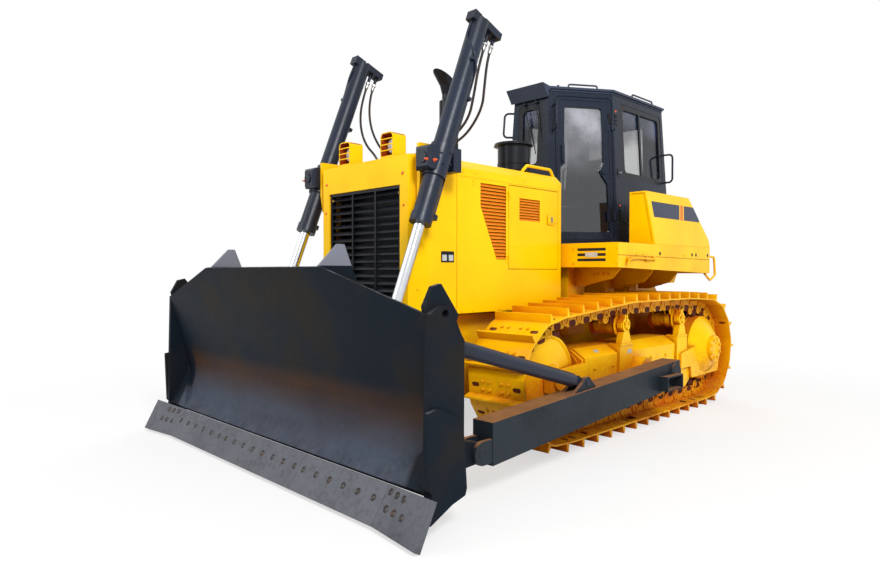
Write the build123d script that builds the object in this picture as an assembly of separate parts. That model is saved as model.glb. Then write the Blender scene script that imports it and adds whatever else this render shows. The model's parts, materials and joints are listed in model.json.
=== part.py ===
from build123d import *
import math
import os

# Crawler dozer with a straight tilt blade. Millimetres, +X forward to the blade, +Y to the
# machine's left, +Z up. The origin is on the ground, under the middle of the whole machine.

# ---------------------------------------------------------------- undercarriage
TRACK_GAUGE = 2000.0          # between the centre lines of the two tracks
SHOE_WIDTH = 560.0
TRACK_PITCH = 216.0
LINK_RISE = 55.0              # pin line to the underside of the shoe
SHOE_PLATE = 14.0
GROUSER_HEIGHT = 65.0
GROUSER_WIDTH = 16.0
LINK_DROP = 60.0              # pin line to the rail that the rollers run on
RAIL_OFFSET = 95.0            # track centre to the middle of a link rail
RAIL_WIDTH = 45.0
RUN_GAP = 3.0                 # between a rail and the wheel that it runs on

SPROCKET_X = -2130.0
SPROCKET_PIN_RADIUS = 468.0
SPROCKET_TEETH = 27
SPROCKET_WIDTH = 76.0
SPROCKET_BORE = 250.0
BUSHING_RADIUS = 33.0
IDLER_X = 658.0
IDLER_PIN_RADIUS = 437.0
SHAFT_RADIUS = 45.0
CARRIER_X = (-450.0, -1580.0)
CARRIER_Z = 946.0
CARRIER_RADIUS = 88.0
CARRIER_SHAFT = 35.0
ROLLER_COUNT = 6
ROLLER_FIRST_X = 250.0
ROLLER_LAST_X = -1600.0
ROLLER_RADIUS = 102.0

FRAME_HALF_WIDTH = 165.0      # box beam of a track frame
FRAME_BOTTOM = 432.0
FRAME_TOP = 765.0
FRAME_SHOULDER_Z = 690.0      # where the sloped covers start
POST_HALF = 115.0             # square posts under the carrier pedestals
COVER_GAP = 14.0
FRAME_FRONT_X = 245.0
IDLER_FORK_Y = 158.0          # track centre to the inner face of the idler's fork
FRAME_REAR_X = -1560.0
GUARD_OFFSET = 178.0          # track centre to the inner face of a roller guard
GUARD_PLATE = 20.0

# ---------------------------------------------------------------- hull and engine
HULL_HALF_WIDTH = 500.0
HULL_BOTTOM = 410.0
HULL_TOP = 1080.0
HULL_FRONT_X = 1560.0
HULL_PLATE = 25.0
RAIL_BEAM_WIDTH = 90.0
RAIL_BEAM_BOTTOM = 640.0
REAR_CASE_FRONT_X = -1700.0
REAR_CASE_REAR_X = -2480.0
EQUALIZER_X = -30.0
HUB_REACH = 320.0             # track centre to the outer face of the final drive hub
FINAL_DRIVE_RADIUS = 350.0

DRAWBAR_PIN_RADIUS = 27.5

# ---------------------------------------------------------------- hood and radiator guard
HOOD_HALF_WIDTH = 640.0
HOOD_SEAM_Z = 2197.0          # between the side panels and the hood
HOOD_SHOULDER_Z = 2335.0
HOOD_SHOULDER_Y = 575.0
HOOD_CROWN_Z = 2362.0
HOOD_FRONT_X = 1207.0
HOOD_REAR_X = -215.0
PANEL = 6.0                   # sheet of the hood and its side panels
SEAM = 5.0                    # open seam between panels
SIDE_BOTTOM = 1100.0

GUARD_FRONT_X = 1650.0
GUARD_FACET_X = 1520.0        # where the slanted front facets meet the sides
GUARD_TOP_Z = 2325.0
GUARD_BOTTOM_Z = 760.0
GUARD_FACE_HALF = 556.0
GUARD_WALL = 30.0
GRILLE_HALF_WIDTH = 464.0
GRILLE_TOP_Z = 2100.0
GRILLE_BOTTOM_Z = 880.0
GRILLE_SLATS = 20

PRECLEANER_X = 20.0
PRECLEANER_Y = 250.0
PRECLEANER_TOP = 2675.0
EXHAUST_X = 650.0
EXHAUST_RADIUS = 88.0
EXHAUST_SLEEVE_Z = 3000.0
EXHAUST_NECK = 62.0
EXHAUST_MOUTH = 98.0
EXHAUST_LIP = 6.0

DOOR_FRONT_X = 566.0          # engine side door
DOOR_REAR_X = -161.0
DOOR_TOP_Z = 2180.0
DOOR_BOTTOM_Z = 1460.0
LATCH_HINGE = 6.0             # knuckle of the engine door's hinges
LATCH_HINGE_RISE = 7.0
VENT_FRONT_X = 413.0          # louvre in the engine door
VENT_REAR_X = 117.0
VENT_TOP_Z = 2080.0
VENT_LOW_Z = 1885.0
VENT_SLATS = 8
LOUVRE_FRONT_X = 924.0        # tall louvre ahead of the door
LOUVRE_REAR_X = 597.0
LOUVRE_TOP_Z = 2165.0
LOUVRE_LOW_Z = 1538.0
LOUVRE_HEEL_X = 721.0
LOUVRE_BEND_Z = 1974.0
LOUVRE_SLATS = 22

# ---------------------------------------------------------------- cab and platform
CAB_BASE_Z = 1712.0
CAB_TOP_Z = 3300.0
CAB_TAPER = 3.4               # degrees, every wall leans in
CAB_FRONT_X = -495.0
CAB_FRONT_HALF = 273.0
CAB_CORNER_X = -1160.0
CAB_HALF_WIDTH = 700.0
CAB_REAR_X = -2320.0
CAB_REAR_TAPER = 1.4
CAB_WALL = 45.0
DOOR_REAR = 46.0              # from the wall's rear corner to the cab door's hinge edge
DOOR_WIDTH = 625.0
DOOR_LOW = 40.0
DOOR_HIGH = 1538.0
DOOR_GAP = 6.0
DOOR_CORNER = 50.0
HINGE_RADIUS = 12.0
HINGE_RISE = 13.0             # hinge pin outside the wall's face
HINGE_LENGTH = 90.0
SIDE_WINDOW_LOW = 2440.0
SIDE_WINDOW_HIGH = 3232.0
FRONT_WINDOW_LOW = 2500.0
FRONT_WINDOW_HIGH = 3195.0
FRONT_WINDOW_HALF = 158.0
WINDOW_CORNER = 45.0
ROOF_THICK = 45.0
ROOF_OVERHANG = 22.0
GLASS = 6.0

PLATFORM_TOP = 1700.0
PLATFORM_HALF = 1200.0
PLATFORM_PLATE = 12.0
PLATFORM_FRONT_X = -230.0     # at the hood side
PLATFORM_CORNER_X = -295.0    # at the outer edge
PLATFORM_REAR_X = -2244.0
PLATFORM_SKIRT_FRONT = 1478.0
PLATFORM_SKIRT_REAR = 1415.0

BOX_FRONT_X = -980.0          # fender boxes
BOX_TOP_REAR_X = -1926.0
BOX_KINK_Z = 1785.0
BOX_TOP_Z = 2228.0
BOX_INNER_Y = 925.0
BOX_TOP_OUTER_Y = 1100.0
BOX_RIM = 16.0

TANK_FRONT_X = -2350.0
TANK_REAR_X = -2665.0
TANK_HALF_WIDTH = 620.0
TANK_BOTTOM = 1300.0
TANK_TOP = 2040.0

# ---------------------------------------------------------------- blade and its linkage
TRUNNION_X = -660.0
TRUNNION_Z = 520.0
ARM_OUTER_Y = 1560.0
ARM_WIDTH = 170.0
ARM_FRONT_X = 1830.0
ARM_FRONT_HEIGHT = 273.0
ARM_FRONT_Z = 352.0
ARM_REAR_HEIGHT = 228.0
ARM_PIN_X = 1915.0
ARM_PIN_Z = 310.0
ARM_PIN_RADIUS = 38.0
ARM_TONGUE = 100.0
PIN_GAP = 0.5
BRACE_X = 715.0
BRACE_Z = 596.0
BRACE_HEAD_X = 2235.0
BRACE_HEAD_Z = 1022.0
BRACE_RADIUS = 51.0
BRACE_EYE = 60.0
BRACE_EYE_RADIUS = 38.0
BRACE_PIN_RADIUS = 20.0

BLADE_CENTRE_HALF = 807.0
BLADE_HALF_WIDTH = 1690.0
BLADE_TOP_X = 2606.0
BLADE_TOP_Z = 1465.0
BLADE_CORNER_Z = 1210.0
BLADE_SEAM_X = 2535.0
BLADE_SEAM_Z = 245.0
BLADE_HOLLOW_X = 2375.0       # deepest line of the hollow
BLADE_HOLLOW_Z = 570.0
BLADE_BEND_X = 2412.0         # straight above this line
BLADE_BEND_Z = 730.0
BLADE_FOLD_X = 2420.0         # on the curve under the hollow
BLADE_FOLD_Z = 380.0
BLADE_PLATE = 22.0
BLADE_REAR_X = 2275.0
EDGE_THICK = 28.0
EDGE_MIDDLE_HALF = 545.0      # half of the middle plate of the cutting edge
END_BIT_Y = 1405.0            # inner end of an end bit
END_BIT_REACH = 1815.0
END_BIT_FOOT_X = 2728.0
END_BIT_FOOT_Z = 24.0
END_BIT_TOP_X = 2605.0
END_BIT_TOP_Z = 262.0
END_BIT_THICK = 46.0
EDGE_FOOT_X = 2679.0
EDGE_FOOT_Z = 30.0
BLADE_SIDE_Y = 1725.0
WEAR_PLATE = 25.0
BLADE_EYE_X = 2415.0
BLADE_EYE_Z = 1205.0
BLADE_EYE_RADIUS = 26.0
EYE_PLATE_Y = 1660.0          # inner face of the gusset that doubles the eye

LIFT_OFFSET = 113.0           # hood side to the cylinder's line
LIFT_PIVOT_X = 1515.0
LIFT_PIVOT_Z = 2270.0
LIFT_EYE_X = 2126.0
LIFT_EYE_Z = 720.0
BARREL_RADIUS = 76.0
BORE_GAP = 1.0
BARREL_BELOW = 512.0          # pivot to the gland end
BARREL_ABOVE = 1225.0         # pivot to the closed end
TRUNNION_PIN = 30.0
PIPE_RADIUS = 9.0
ROD_RADIUS = 42.0
ROD_LENGTH = 1790.0
EYE_RADIUS = 68.0

HOSE_RADIUS = 11.0
HOSE_PORTS = (-120.0, -190.0)  # each port behind the barrel's line, under the head block
PORT_LENGTH = (104.0, 84.0)
HOSE_FIRST_RUN = (200.0, 112.0)  # in line with its port
# runs of each hose after that: X, Y, Z of the corners, the last at the guard
HOSE_RUNS = (
    ((1110, 736, 2832), (1102, 668, 2640), (1132, 452, 2484), (1290, 244, 2398)),
    ((994, 744, 2930), (976, 702, 2740), (992, 500, 2524), (1122, 322, 2454), (1290, 132, 2398)),
)

# ---------------------------------------------------------------- worked out from the above
TRACK_Y = TRACK_GAUGE / 2
LIFT_Y = HOOD_HALF_WIDTH + LIFT_OFFSET
PIN_LINE_Z = LINK_RISE + SHOE_PLATE + GROUSER_HEIGHT
SPROCKET_Z = PIN_LINE_Z + SPROCKET_PIN_RADIUS
IDLER_Z = PIN_LINE_Z + IDLER_PIN_RADIUS
CARRIER_PIN_RADIUS = CARRIER_RADIUS + RUN_GAP + LINK_DROP
ROLLER_Z = PIN_LINE_Z + LINK_DROP + RUN_GAP + ROLLER_RADIUS
BRACE_Y = ARM_OUTER_Y - ARM_WIDTH / 2
LIFT_LENGTH = math.hypot(LIFT_EYE_X - LIFT_PIVOT_X, LIFT_PIVOT_Z - LIFT_EYE_Z)


# ---------------------------------------------------------------- small helpers
def block(x0, x1, y0, y1, z0, z1):
    """A box between two corners."""
    size = Box(abs(x1 - x0), abs(y1 - y0), abs(z1 - z0))
    return Pos((x0 + x1) / 2, (y0 + y1) / 2, (z0 + z1) / 2) * size


def side_profile(points, y0, y1):
    """An outline in the XZ plane, from y0 to y1."""
    plane = Plane((0, y0, 0), x_dir=(1, 0, 0), z_dir=(0, -1, 0))
    return extrude(plane * Polygon(*points, align=None), amount=y1 - y0, dir=(0, 1, 0))


def cross_profile(points, x0, x1):
    """An outline in the YZ plane, from x0 to x1."""
    plane = Plane((x0, 0, 0), x_dir=(0, 1, 0), z_dir=(1, 0, 0))
    return extrude(plane * Polygon(*points, align=None), amount=x1 - x0, dir=(1, 0, 0))


def plan_profile(points, z0, z1):
    """An outline in the XY plane, from z0 to z1."""
    return extrude(Pos(0, 0, z0) * Polygon(*points, align=None), amount=z1 - z0, dir=(0, 0, 1))


def bar(start, end, radius):
    """A round bar between two points."""
    start, end = Vector(*start), Vector(*end)
    plane = Plane(origin=start, z_dir=end - start)
    return extrude(plane * Circle(radius), amount=(end - start).length)


def disc(x, z, y0, y1, radius):
    """A round bar along Y."""
    return bar((x, y0, z), (x, y1, z), radius)


def turned(x, y, z, profile):
    """A body turned about a line along Y, from (radius, offset along Y) points."""
    plane = Plane((x, y, z), x_dir=(1, 0, 0), z_dir=(0, 0, 1))
    return revolve(plane * Polygon(*profile, align=None), Axis((x, y, z), (0, 1, 0)))


def bent_bar(points, radius, bend):
    """A round bar along a path with rounded corners."""
    path = FilletPolyline(*points, radius=bend)
    section = Plane(origin=path @ 0, z_dir=path % 0) * Circle(radius)
    return sweep(section, path=path)


def opposite(part):
    """The same part on the machine's right."""
    return mirror(part, about=Plane.XZ)


def both(part):
    return [part, opposite(part)]


def solids(*parts):
    """Separate solids kept side by side in one node."""
    found = []
    for part in parts:
        found += part.solids()
    return Compound(children=found)


def save(name, part):
    export_step(part, f"parts/{name}.step")


# ---------------------------------------------------------------- track
def belt():
    """The closed line of the track pins round the sprocket, carriers and idler."""
    rounds = [CenterArc((IDLER_X, IDLER_Z), IDLER_PIN_RADIUS, 0, 360),
              CenterArc((SPROCKET_X, SPROCKET_Z), SPROCKET_PIN_RADIUS, 0, 360)]
    for x in CARRIER_X:
        rounds.append(CenterArc((x, CARRIER_Z), CARRIER_PIN_RADIUS, 0, 360))
    return make_hull(rounds).face().outer_wire()


def track_pins():
    line = belt()
    count = round(line.length / TRACK_PITCH)
    pins = [line.position_at(k / count) for k in range(count)]
    area = sum(pins[k - 1].X * pins[k].Y - pins[k].X * pins[k - 1].Y for k in range(count))
    return pins if area > 0 else pins[::-1]


def along_links(pins, local):
    """Points given as (share of the pitch, height outward) on every link in turn."""
    out = []
    for k, pin in enumerate(pins):
        step = pins[(k + 1) % len(pins)] - pin
        outward = Vector(step.Y, -step.X).normalized()
        for share, height in local:
            point = pin + step * share + outward * height
            out.append((point.X, point.Y))
    return out


def ring(outer, inner, y0, y1):
    return side_profile(outer, y0, y1) - side_profile(inner, y0 - 1, y1 + 1)


def track(pins):
    top = LINK_RISE + SHOE_PLATE
    tip = top + GROUSER_HEIGHT
    grouser = GROUSER_WIDTH / TRACK_PITCH
    shoe = [(0.03, top), (0.10, top), (0.13, tip), (0.13 + grouser, tip), (0.20 + grouser, top),
            (0.97, top)]
    half = SHOE_WIDTH / 2
    body = ring(along_links(pins, shoe), along_links(pins, [(0.03, LINK_RISE), (0.97, LINK_RISE)]),
                TRACK_Y - half, TRACK_Y + half)
    rail_top = [(0.0, LINK_RISE + 4)]
    rail_foot = [(0.0, -0.4 * LINK_DROP), (0.14, -LINK_DROP), (0.86, -LINK_DROP)]
    for side in (-1, 1):
        middle = TRACK_Y + side * RAIL_OFFSET
        body += ring(along_links(pins, rail_top), along_links(pins, rail_foot),
                     middle - RAIL_WIDTH / 2, middle + RAIL_WIDTH / 2)
    return body


def rim_radius(pin_radius):
    """Largest wheel that runs inside the rails on a given pin circle."""
    return math.sqrt(pin_radius ** 2 - (TRACK_PITCH / 2) ** 2) - LINK_DROP - RUN_GAP


def sprocket():
    root = SPROCKET_PIN_RADIUS - BUSHING_RADIUS - 4
    tip = SPROCKET_PIN_RADIUS + 24
    step = 360 / SPROCKET_TEETH
    outline = []
    for k in range(SPROCKET_TEETH):
        for radius, share in ((root, -0.5), (root, -0.32), (tip, -0.12), (tip, 0.12), (root, 0.32)):
            angle = math.radians((k + share) * step)
            outline.append((SPROCKET_X + radius * math.cos(angle), SPROCKET_Z + radius * math.sin(angle)))
    body = side_profile(outline, TRACK_Y - SPROCKET_WIDTH / 2, TRACK_Y + SPROCKET_WIDTH / 2)
    bore = disc(SPROCKET_X, SPROCKET_Z, TRACK_Y - SPROCKET_WIDTH, TRACK_Y + SPROCKET_WIDTH,
                SPROCKET_BORE + 0.5)
    return body - bore


def drive_cone(grow):
    """Outer half of the drive case: (radius, offset along Y)."""
    cone = FINAL_DRIVE_RADIUS + grow
    return [(cone + 12, 70), (cone, 76), (cone - 8, 160), (165 + grow, HUB_REACH - 36 + grow),
            (138 + grow, HUB_REACH - 30 + grow), (138 + grow, HUB_REACH + grow)]


def final_drive():
    """Drive case from the hull to the sprocket, the sprocket's seat and the cone outside."""
    inner = HULL_HALF_WIDTH - TRACK_Y
    seat = SPROCKET_WIDTH / 2 + 4
    profile = [(0, inner), (330, inner), (330, -260), (300, -190), (300, -seat), (SPROCKET_BORE, -seat),
               (SPROCKET_BORE, seat), (FINAL_DRIVE_RADIUS + 12, seat)] + drive_cone(0)
    profile += [(70, HUB_REACH), (64, HUB_REACH - 8), (0, HUB_REACH - 8)]
    return turned(SPROCKET_X, TRACK_Y, SPROCKET_Z, profile)


def idler():
    """Rim with its middle flange, and a cone on each side up to the bearing housing."""
    rim = rim_radius(IDLER_PIN_RADIUS)
    flange = RAIL_OFFSET - RAIL_WIDTH / 2 - RUN_GAP
    edge = RAIL_OFFSET + RAIL_WIDTH / 2
    half = [(rim + 22, flange), (rim, flange), (rim, edge), (rim - 16, edge + 6), (rim - 34, edge - 4),
            (175, edge + 22), (130, edge + 34), (SHAFT_RADIUS + 0.3, edge + 34)]
    profile = half + [(r, -y) for r, y in reversed(half)]
    return turned(IDLER_X, TRACK_Y, IDLER_Z, profile)


def flanged_roller(x, z, radius, half):
    """Roller with rims outside the rails and its shaft."""
    edge = RAIL_OFFSET + RAIL_WIDTH / 2 + RUN_GAP
    profile = [(0, -half), (40, -half), (40, -edge - 24), (radius - 12, -edge - 24),
               (radius + 18, -edge - 12),
               (radius + 18, -edge), (radius, -edge), (radius, -45), (radius - 22, -30), (radius - 22, 30),
               (radius, 45), (radius, edge), (radius + 18, edge), (radius + 18, edge + 12),
               (radius - 12, edge + 24), (40, edge + 24), (40, half), (0, half)]
    return turned(x, TRACK_Y, z, profile)


def track_rollers():
    step = (ROLLER_LAST_X - ROLLER_FIRST_X) / (ROLLER_COUNT - 1)
    made = []
    for k in range(ROLLER_COUNT):
        made.append(flanged_roller(ROLLER_FIRST_X + k * step, ROLLER_Z, ROLLER_RADIUS, GUARD_OFFSET))
    return made


def carrier_roller(x):
    """Carrier roller on a shaft that the pedestal outside it clamps."""
    edge = RAIL_OFFSET + RAIL_WIDTH / 2 + RUN_GAP
    profile = [(0, -edge - 10), (CARRIER_RADIUS + 22, -edge - 10), (CARRIER_RADIUS + 22, -edge),
               (CARRIER_RADIUS, -edge), (CARRIER_RADIUS, -40), (CARRIER_RADIUS - 14, -30),
               (CARRIER_RADIUS - 14, 30), (CARRIER_RADIUS, 40), (CARRIER_RADIUS, edge),
               (CARRIER_RADIUS + 22, edge), (CARRIER_RADIUS + 22, edge + 10), (CARRIER_SHAFT, edge + 10),
               (CARRIER_SHAFT, 205), (0, 205)]
    return turned(x, TRACK_Y, CARRIER_Z, profile)


def carrier_pedestal(x):
    """Cast post with a split clamp round the carrier's shaft, bolted to a square post of the frame."""
    y0, y1 = TRACK_Y + 138, TRACK_Y + 198
    foot = FRAME_TOP + 16
    post = side_profile([(x - 88, foot - 1), (x + 88, foot - 1), (x + 50, CARRIER_Z - 60),
                         (x - 50, CARRIER_Z - 60)], y0, y1)
    post += block(x - POST_HALF + 6, x + POST_HALF - 6, TRACK_Y + 75, y1 + 6, FRAME_TOP - 4, foot)
    clamp = disc(x, CARRIER_Z, y0, y1, 66) + block(x - 78, x + 78, y0 + 8, y1 - 8, CARRIER_Z - 22,
                                                   CARRIER_Z + 22)
    ear = block(x - 26, x - 6, y0, y1, CARRIER_Z + 40, CARRIER_Z + 96)
    ear += block(x + 6, x + 26, y0, y1, CARRIER_Z + 40, CARRIER_Z + 96)
    slit = block(x - 6, x + 6, y0 - 5, y1 + 5, CARRIER_Z, CARRIER_Z + 100)
    return post + clamp + ear - slit - disc(x, CARRIER_Z, y0 - 5, y1 + 5, CARRIER_SHAFT + 0.3)


def frame_section(grow):
    """Section of the box beam: upright below the shoulder, sloped above it."""
    w = FRAME_HALF_WIDTH + grow
    return [(TRACK_Y - w, FRAME_BOTTOM), (TRACK_Y + w, FRAME_BOTTOM),
            (TRACK_Y + w + 8, FRAME_SHOULDER_Z + grow),
            (TRACK_Y + w - 110, FRAME_TOP + grow), (TRACK_Y - w, FRAME_TOP + grow)]


def track_frame():
    w = FRAME_HALF_WIDTH
    body = cross_profile(frame_section(0), FRAME_REAR_X, FRAME_FRONT_X)
    # sloped covers between the posts
    stops = [FRAME_REAR_X]
    for x in sorted(CARRIER_X):
        stops += [x - POST_HALF, x + POST_HALF]
        body += block(x - POST_HALF, x + POST_HALF, TRACK_Y + 40, TRACK_Y + w + 34, FRAME_BOTTOM + 20,
                      FRAME_TOP)
    stops.append(FRAME_FRONT_X - 20)
    for x0, x1 in zip(stops[::2], stops[1::2]):
        if x1 - x0 > 4 * COVER_GAP:
            body += cross_profile(frame_section(10), x0 + COVER_GAP, x1 - COVER_GAP)
    # recoil housing and the idler's fork
    body += bar((FRAME_FRONT_X - 20, TRACK_Y, 600), (FRAME_FRONT_X + 15, TRACK_Y, 600), 150)
    fork_y = IDLER_FORK_Y
    for side in (-1, 1):
        inner = TRACK_Y + side * fork_y
        outer = TRACK_Y + side * (fork_y + 40)
        body += side_profile([(FRAME_FRONT_X - 60, FRAME_BOTTOM), (IDLER_X + 95, IDLER_Z - 90),
                              (IDLER_X + 95, IDLER_Z + 30), (IDLER_X - 70, IDLER_Z + 70),
                              (FRAME_FRONT_X - 60, FRAME_SHOULDER_Z - 20)], min(inner, outer),
                              max(inner, outer))
    # bearing block and shaft cap outside the fork
    y0 = TRACK_Y + fork_y + 39
    body += block(IDLER_X - 120, IDLER_X + 95, y0, y0 + 34, IDLER_Z - 92, IDLER_Z + 28)
    body += disc(IDLER_X, IDLER_Z, TRACK_Y - fork_y - 40, y0 + 62, SHAFT_RADIUS)
    body += disc(IDLER_X, IDLER_Z, y0 + 33, y0 + 62, 72)
    # roller guards, inside and outside
    for side in (-1, 1):
        y0 = TRACK_Y + side * (GUARD_OFFSET + 0.5)
        y1 = TRACK_Y + side * (GUARD_OFFSET + GUARD_PLATE)
        body += side_profile([(ROLLER_LAST_X - 150, FRAME_BOTTOM + 30),
                              (ROLLER_FIRST_X + 150, FRAME_BOTTOM + 30),
                              (ROLLER_FIRST_X + 150, 300), (ROLLER_FIRST_X + 60, 232),
                              (ROLLER_LAST_X - 60, 232), (ROLLER_LAST_X - 150, 300)], min(y0, y1),
                              max(y0, y1))
        body += block(ROLLER_LAST_X - 100, FRAME_FRONT_X, min(TRACK_Y + side * 100, y1),
                      max(TRACK_Y + side * 100, y1), FRAME_BOTTOM, FRAME_BOTTOM + 40)
    for x in CARRIER_X:
        body += carrier_pedestal(x)
    # plate outside the sprocket, round the lower half of the final drive
    y0, y1 = TRACK_Y + RAIL_OFFSET + RAIL_WIDTH / 2 + 18, TRACK_Y + GUARD_OFFSET + GUARD_PLATE + 24
    plate = side_profile([(SPROCKET_X - 300, 322), (ROLLER_LAST_X - 165, 316),
                          (ROLLER_LAST_X - 140, FRAME_BOTTOM + 5),
                          (FRAME_REAR_X + 40, FRAME_BOTTOM + 5), (FRAME_REAR_X + 40, 590),
                          (SPROCKET_X + 290, 640),
                          (SPROCKET_X - 290, 640), (SPROCKET_X - 345, 520)], y0, y1)
    inside = [(0, 0), (FINAL_DRIVE_RADIUS + 16, 0)] + drive_cone(4) + [(0, HUB_REACH + 4)]
    body += plate - turned(SPROCKET_X, TRACK_Y, SPROCKET_Z, inside)
    # diagonal brace to the hull, ahead of the drive case
    body += plan_profile([(FRAME_REAR_X + 60, TRACK_Y - w + 10), (FRAME_REAR_X + 620, TRACK_Y - w + 10),
                          (FRAME_REAR_X + 120, HULL_HALF_WIDTH + 5),
                          (FRAME_REAR_X - 60, HULL_HALF_WIDTH + 5)],
                         470, 690)
    # seat of the equalizer bar
    body += block(EQUALIZER_X - 110, EQUALIZER_X + 110, TRACK_Y - GUARD_OFFSET - GUARD_PLATE,
                  TRACK_Y - w + 5, 440, 650)
    # trunnion for the push arm
    socket = ARM_OUTER_Y - ARM_WIDTH
    body += disc(TRUNNION_X, TRUNNION_Z, TRACK_Y + w - 20, socket - 95, 120)
    body += disc(TRUNNION_X, TRUNNION_Z, socket - 96, socket + 60, 62)
    return body


# ---------------------------------------------------------------- hull
def hull():
    b = RAIL_BEAM_WIDTH
    body = None
    for side in (-1, 1):
        beam = block(REAR_CASE_FRONT_X, HULL_FRONT_X, side * (HULL_HALF_WIDTH - b), side * HULL_HALF_WIDTH,
                     RAIL_BEAM_BOTTOM, HULL_TOP)
        skirt = side_profile([(REAR_CASE_FRONT_X, HULL_BOTTOM), (EQUALIZER_X - 210, HULL_BOTTOM),
                              (EQUALIZER_X - 150, RAIL_BEAM_BOTTOM + 5),
                              (REAR_CASE_FRONT_X, RAIL_BEAM_BOTTOM + 5)],
                             min(side * HULL_HALF_WIDTH, side * (HULL_HALF_WIDTH - HULL_PLATE)),
                             max(side * HULL_HALF_WIDTH, side * (HULL_HALF_WIDTH - HULL_PLATE)))
        nose = side_profile([(EQUALIZER_X + 210, HULL_BOTTOM), (HULL_FRONT_X - 320, HULL_BOTTOM),
                             (HULL_FRONT_X, RAIL_BEAM_BOTTOM + 5),
                             (EQUALIZER_X + 150, RAIL_BEAM_BOTTOM + 5)],
                            min(side * HULL_HALF_WIDTH, side * (HULL_HALF_WIDTH - HULL_PLATE)),
                            max(side * HULL_HALF_WIDTH, side * (HULL_HALF_WIDTH - HULL_PLATE)))
        body = beam if body is None else body + beam
        body = body + skirt + nose
    belly = side_profile([(REAR_CASE_FRONT_X, HULL_BOTTOM), (HULL_FRONT_X - 320, HULL_BOTTOM),
                          (HULL_FRONT_X, RAIL_BEAM_BOTTOM), (HULL_FRONT_X, RAIL_BEAM_BOTTOM + HULL_PLATE),
                          (HULL_FRONT_X - 330, HULL_BOTTOM + HULL_PLATE),
                          (REAR_CASE_FRONT_X, HULL_BOTTOM + HULL_PLATE)],
                         -HULL_HALF_WIDTH, HULL_HALF_WIDTH)
    nose_beam = block(HULL_FRONT_X - 70, HULL_FRONT_X, -HULL_HALF_WIDTH, HULL_HALF_WIDTH,
                      RAIL_BEAM_BOTTOM, HULL_TOP)
    body = body + belly + nose_beam
    # saddle over the equalizer bar
    body += block(EQUALIZER_X - 90, EQUALIZER_X + 90, -HULL_HALF_WIDTH, HULL_HALF_WIDTH, 640, 700)
    # cab and platform stands on the rails
    for x0, x1 in ((-330, -620), (-1000, -1180), (-1500, -1640)):
        for side in (-1, 1):
            body += block(x1, x0, side * (HULL_HALF_WIDTH - b), side * HOOD_HALF_WIDTH, HULL_TOP - 260,
                          PLATFORM_TOP - PLATFORM_PLATE)
    return body


def rear_case():
    """Steering and bevel gear case, between the drive cases."""
    outline = [(REAR_CASE_FRONT_X, HULL_BOTTOM), (REAR_CASE_REAR_X + 120, HULL_BOTTOM),
               (REAR_CASE_REAR_X, HULL_BOTTOM + 160), (REAR_CASE_REAR_X, 1120),
               (REAR_CASE_REAR_X + 160, 1290), (REAR_CASE_FRONT_X, 1290)]
    body = side_profile(outline, -HULL_HALF_WIDTH, HULL_HALF_WIDTH)
    pad = block(REAR_CASE_REAR_X - 60, REAR_CASE_REAR_X + 10, -230, 230, 560, 860)
    return body + pad


def drawbar():
    """Clevis with its pin bore behind the rear case."""
    rear = REAR_CASE_REAR_X - 60
    lug_reach = rear - 185
    body = block(rear - 25, rear, -150, 150, 580, 840)
    for z0 in (630, 745):
        lug = block(rear - 25, lug_reach + 85, -85, 85, z0, z0 + 45)
        lug += bar((lug_reach + 85, 0, z0), (lug_reach + 85, 0, z0 + 45), 85)
        body += lug
    return body - bar((lug_reach + 85, 0, 600), (lug_reach + 85, 0, 820), DRAWBAR_PIN_RADIUS)


def equalizer_bar():
    """Cross bar that carries the hull's front on the two track frames."""
    reach = TRACK_Y - GUARD_OFFSET - GUARD_PLATE - 1
    deep = [(-reach, 480), (-250, 445), (250, 445), (reach, 480), (reach, 600), (250, 635), (-250, 635),
            (-reach, 600)]
    return cross_profile(deep, EQUALIZER_X - 80, EQUALIZER_X + 80)


def engine_block():
    low = block(-120, 900, -260, 260, HULL_BOTTOM + 300, 1300)
    top = block(-60, 860, -200, 200, 1299, 1800)
    return low + top


# ---------------------------------------------------------------- radiator guard
def guard_section(grow):
    """Plan outline of the guard, grown or shrunk all round."""
    f = GUARD_FRONT_X + grow
    h = HOOD_HALF_WIDTH + grow
    face = GUARD_FACE_HALF + grow * 0.4
    return [(HOOD_FRONT_X, -h), (GUARD_FACET_X, -h), (f, -face), (f, face), (GUARD_FACET_X, h),
            (HOOD_FRONT_X, h)]


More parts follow.
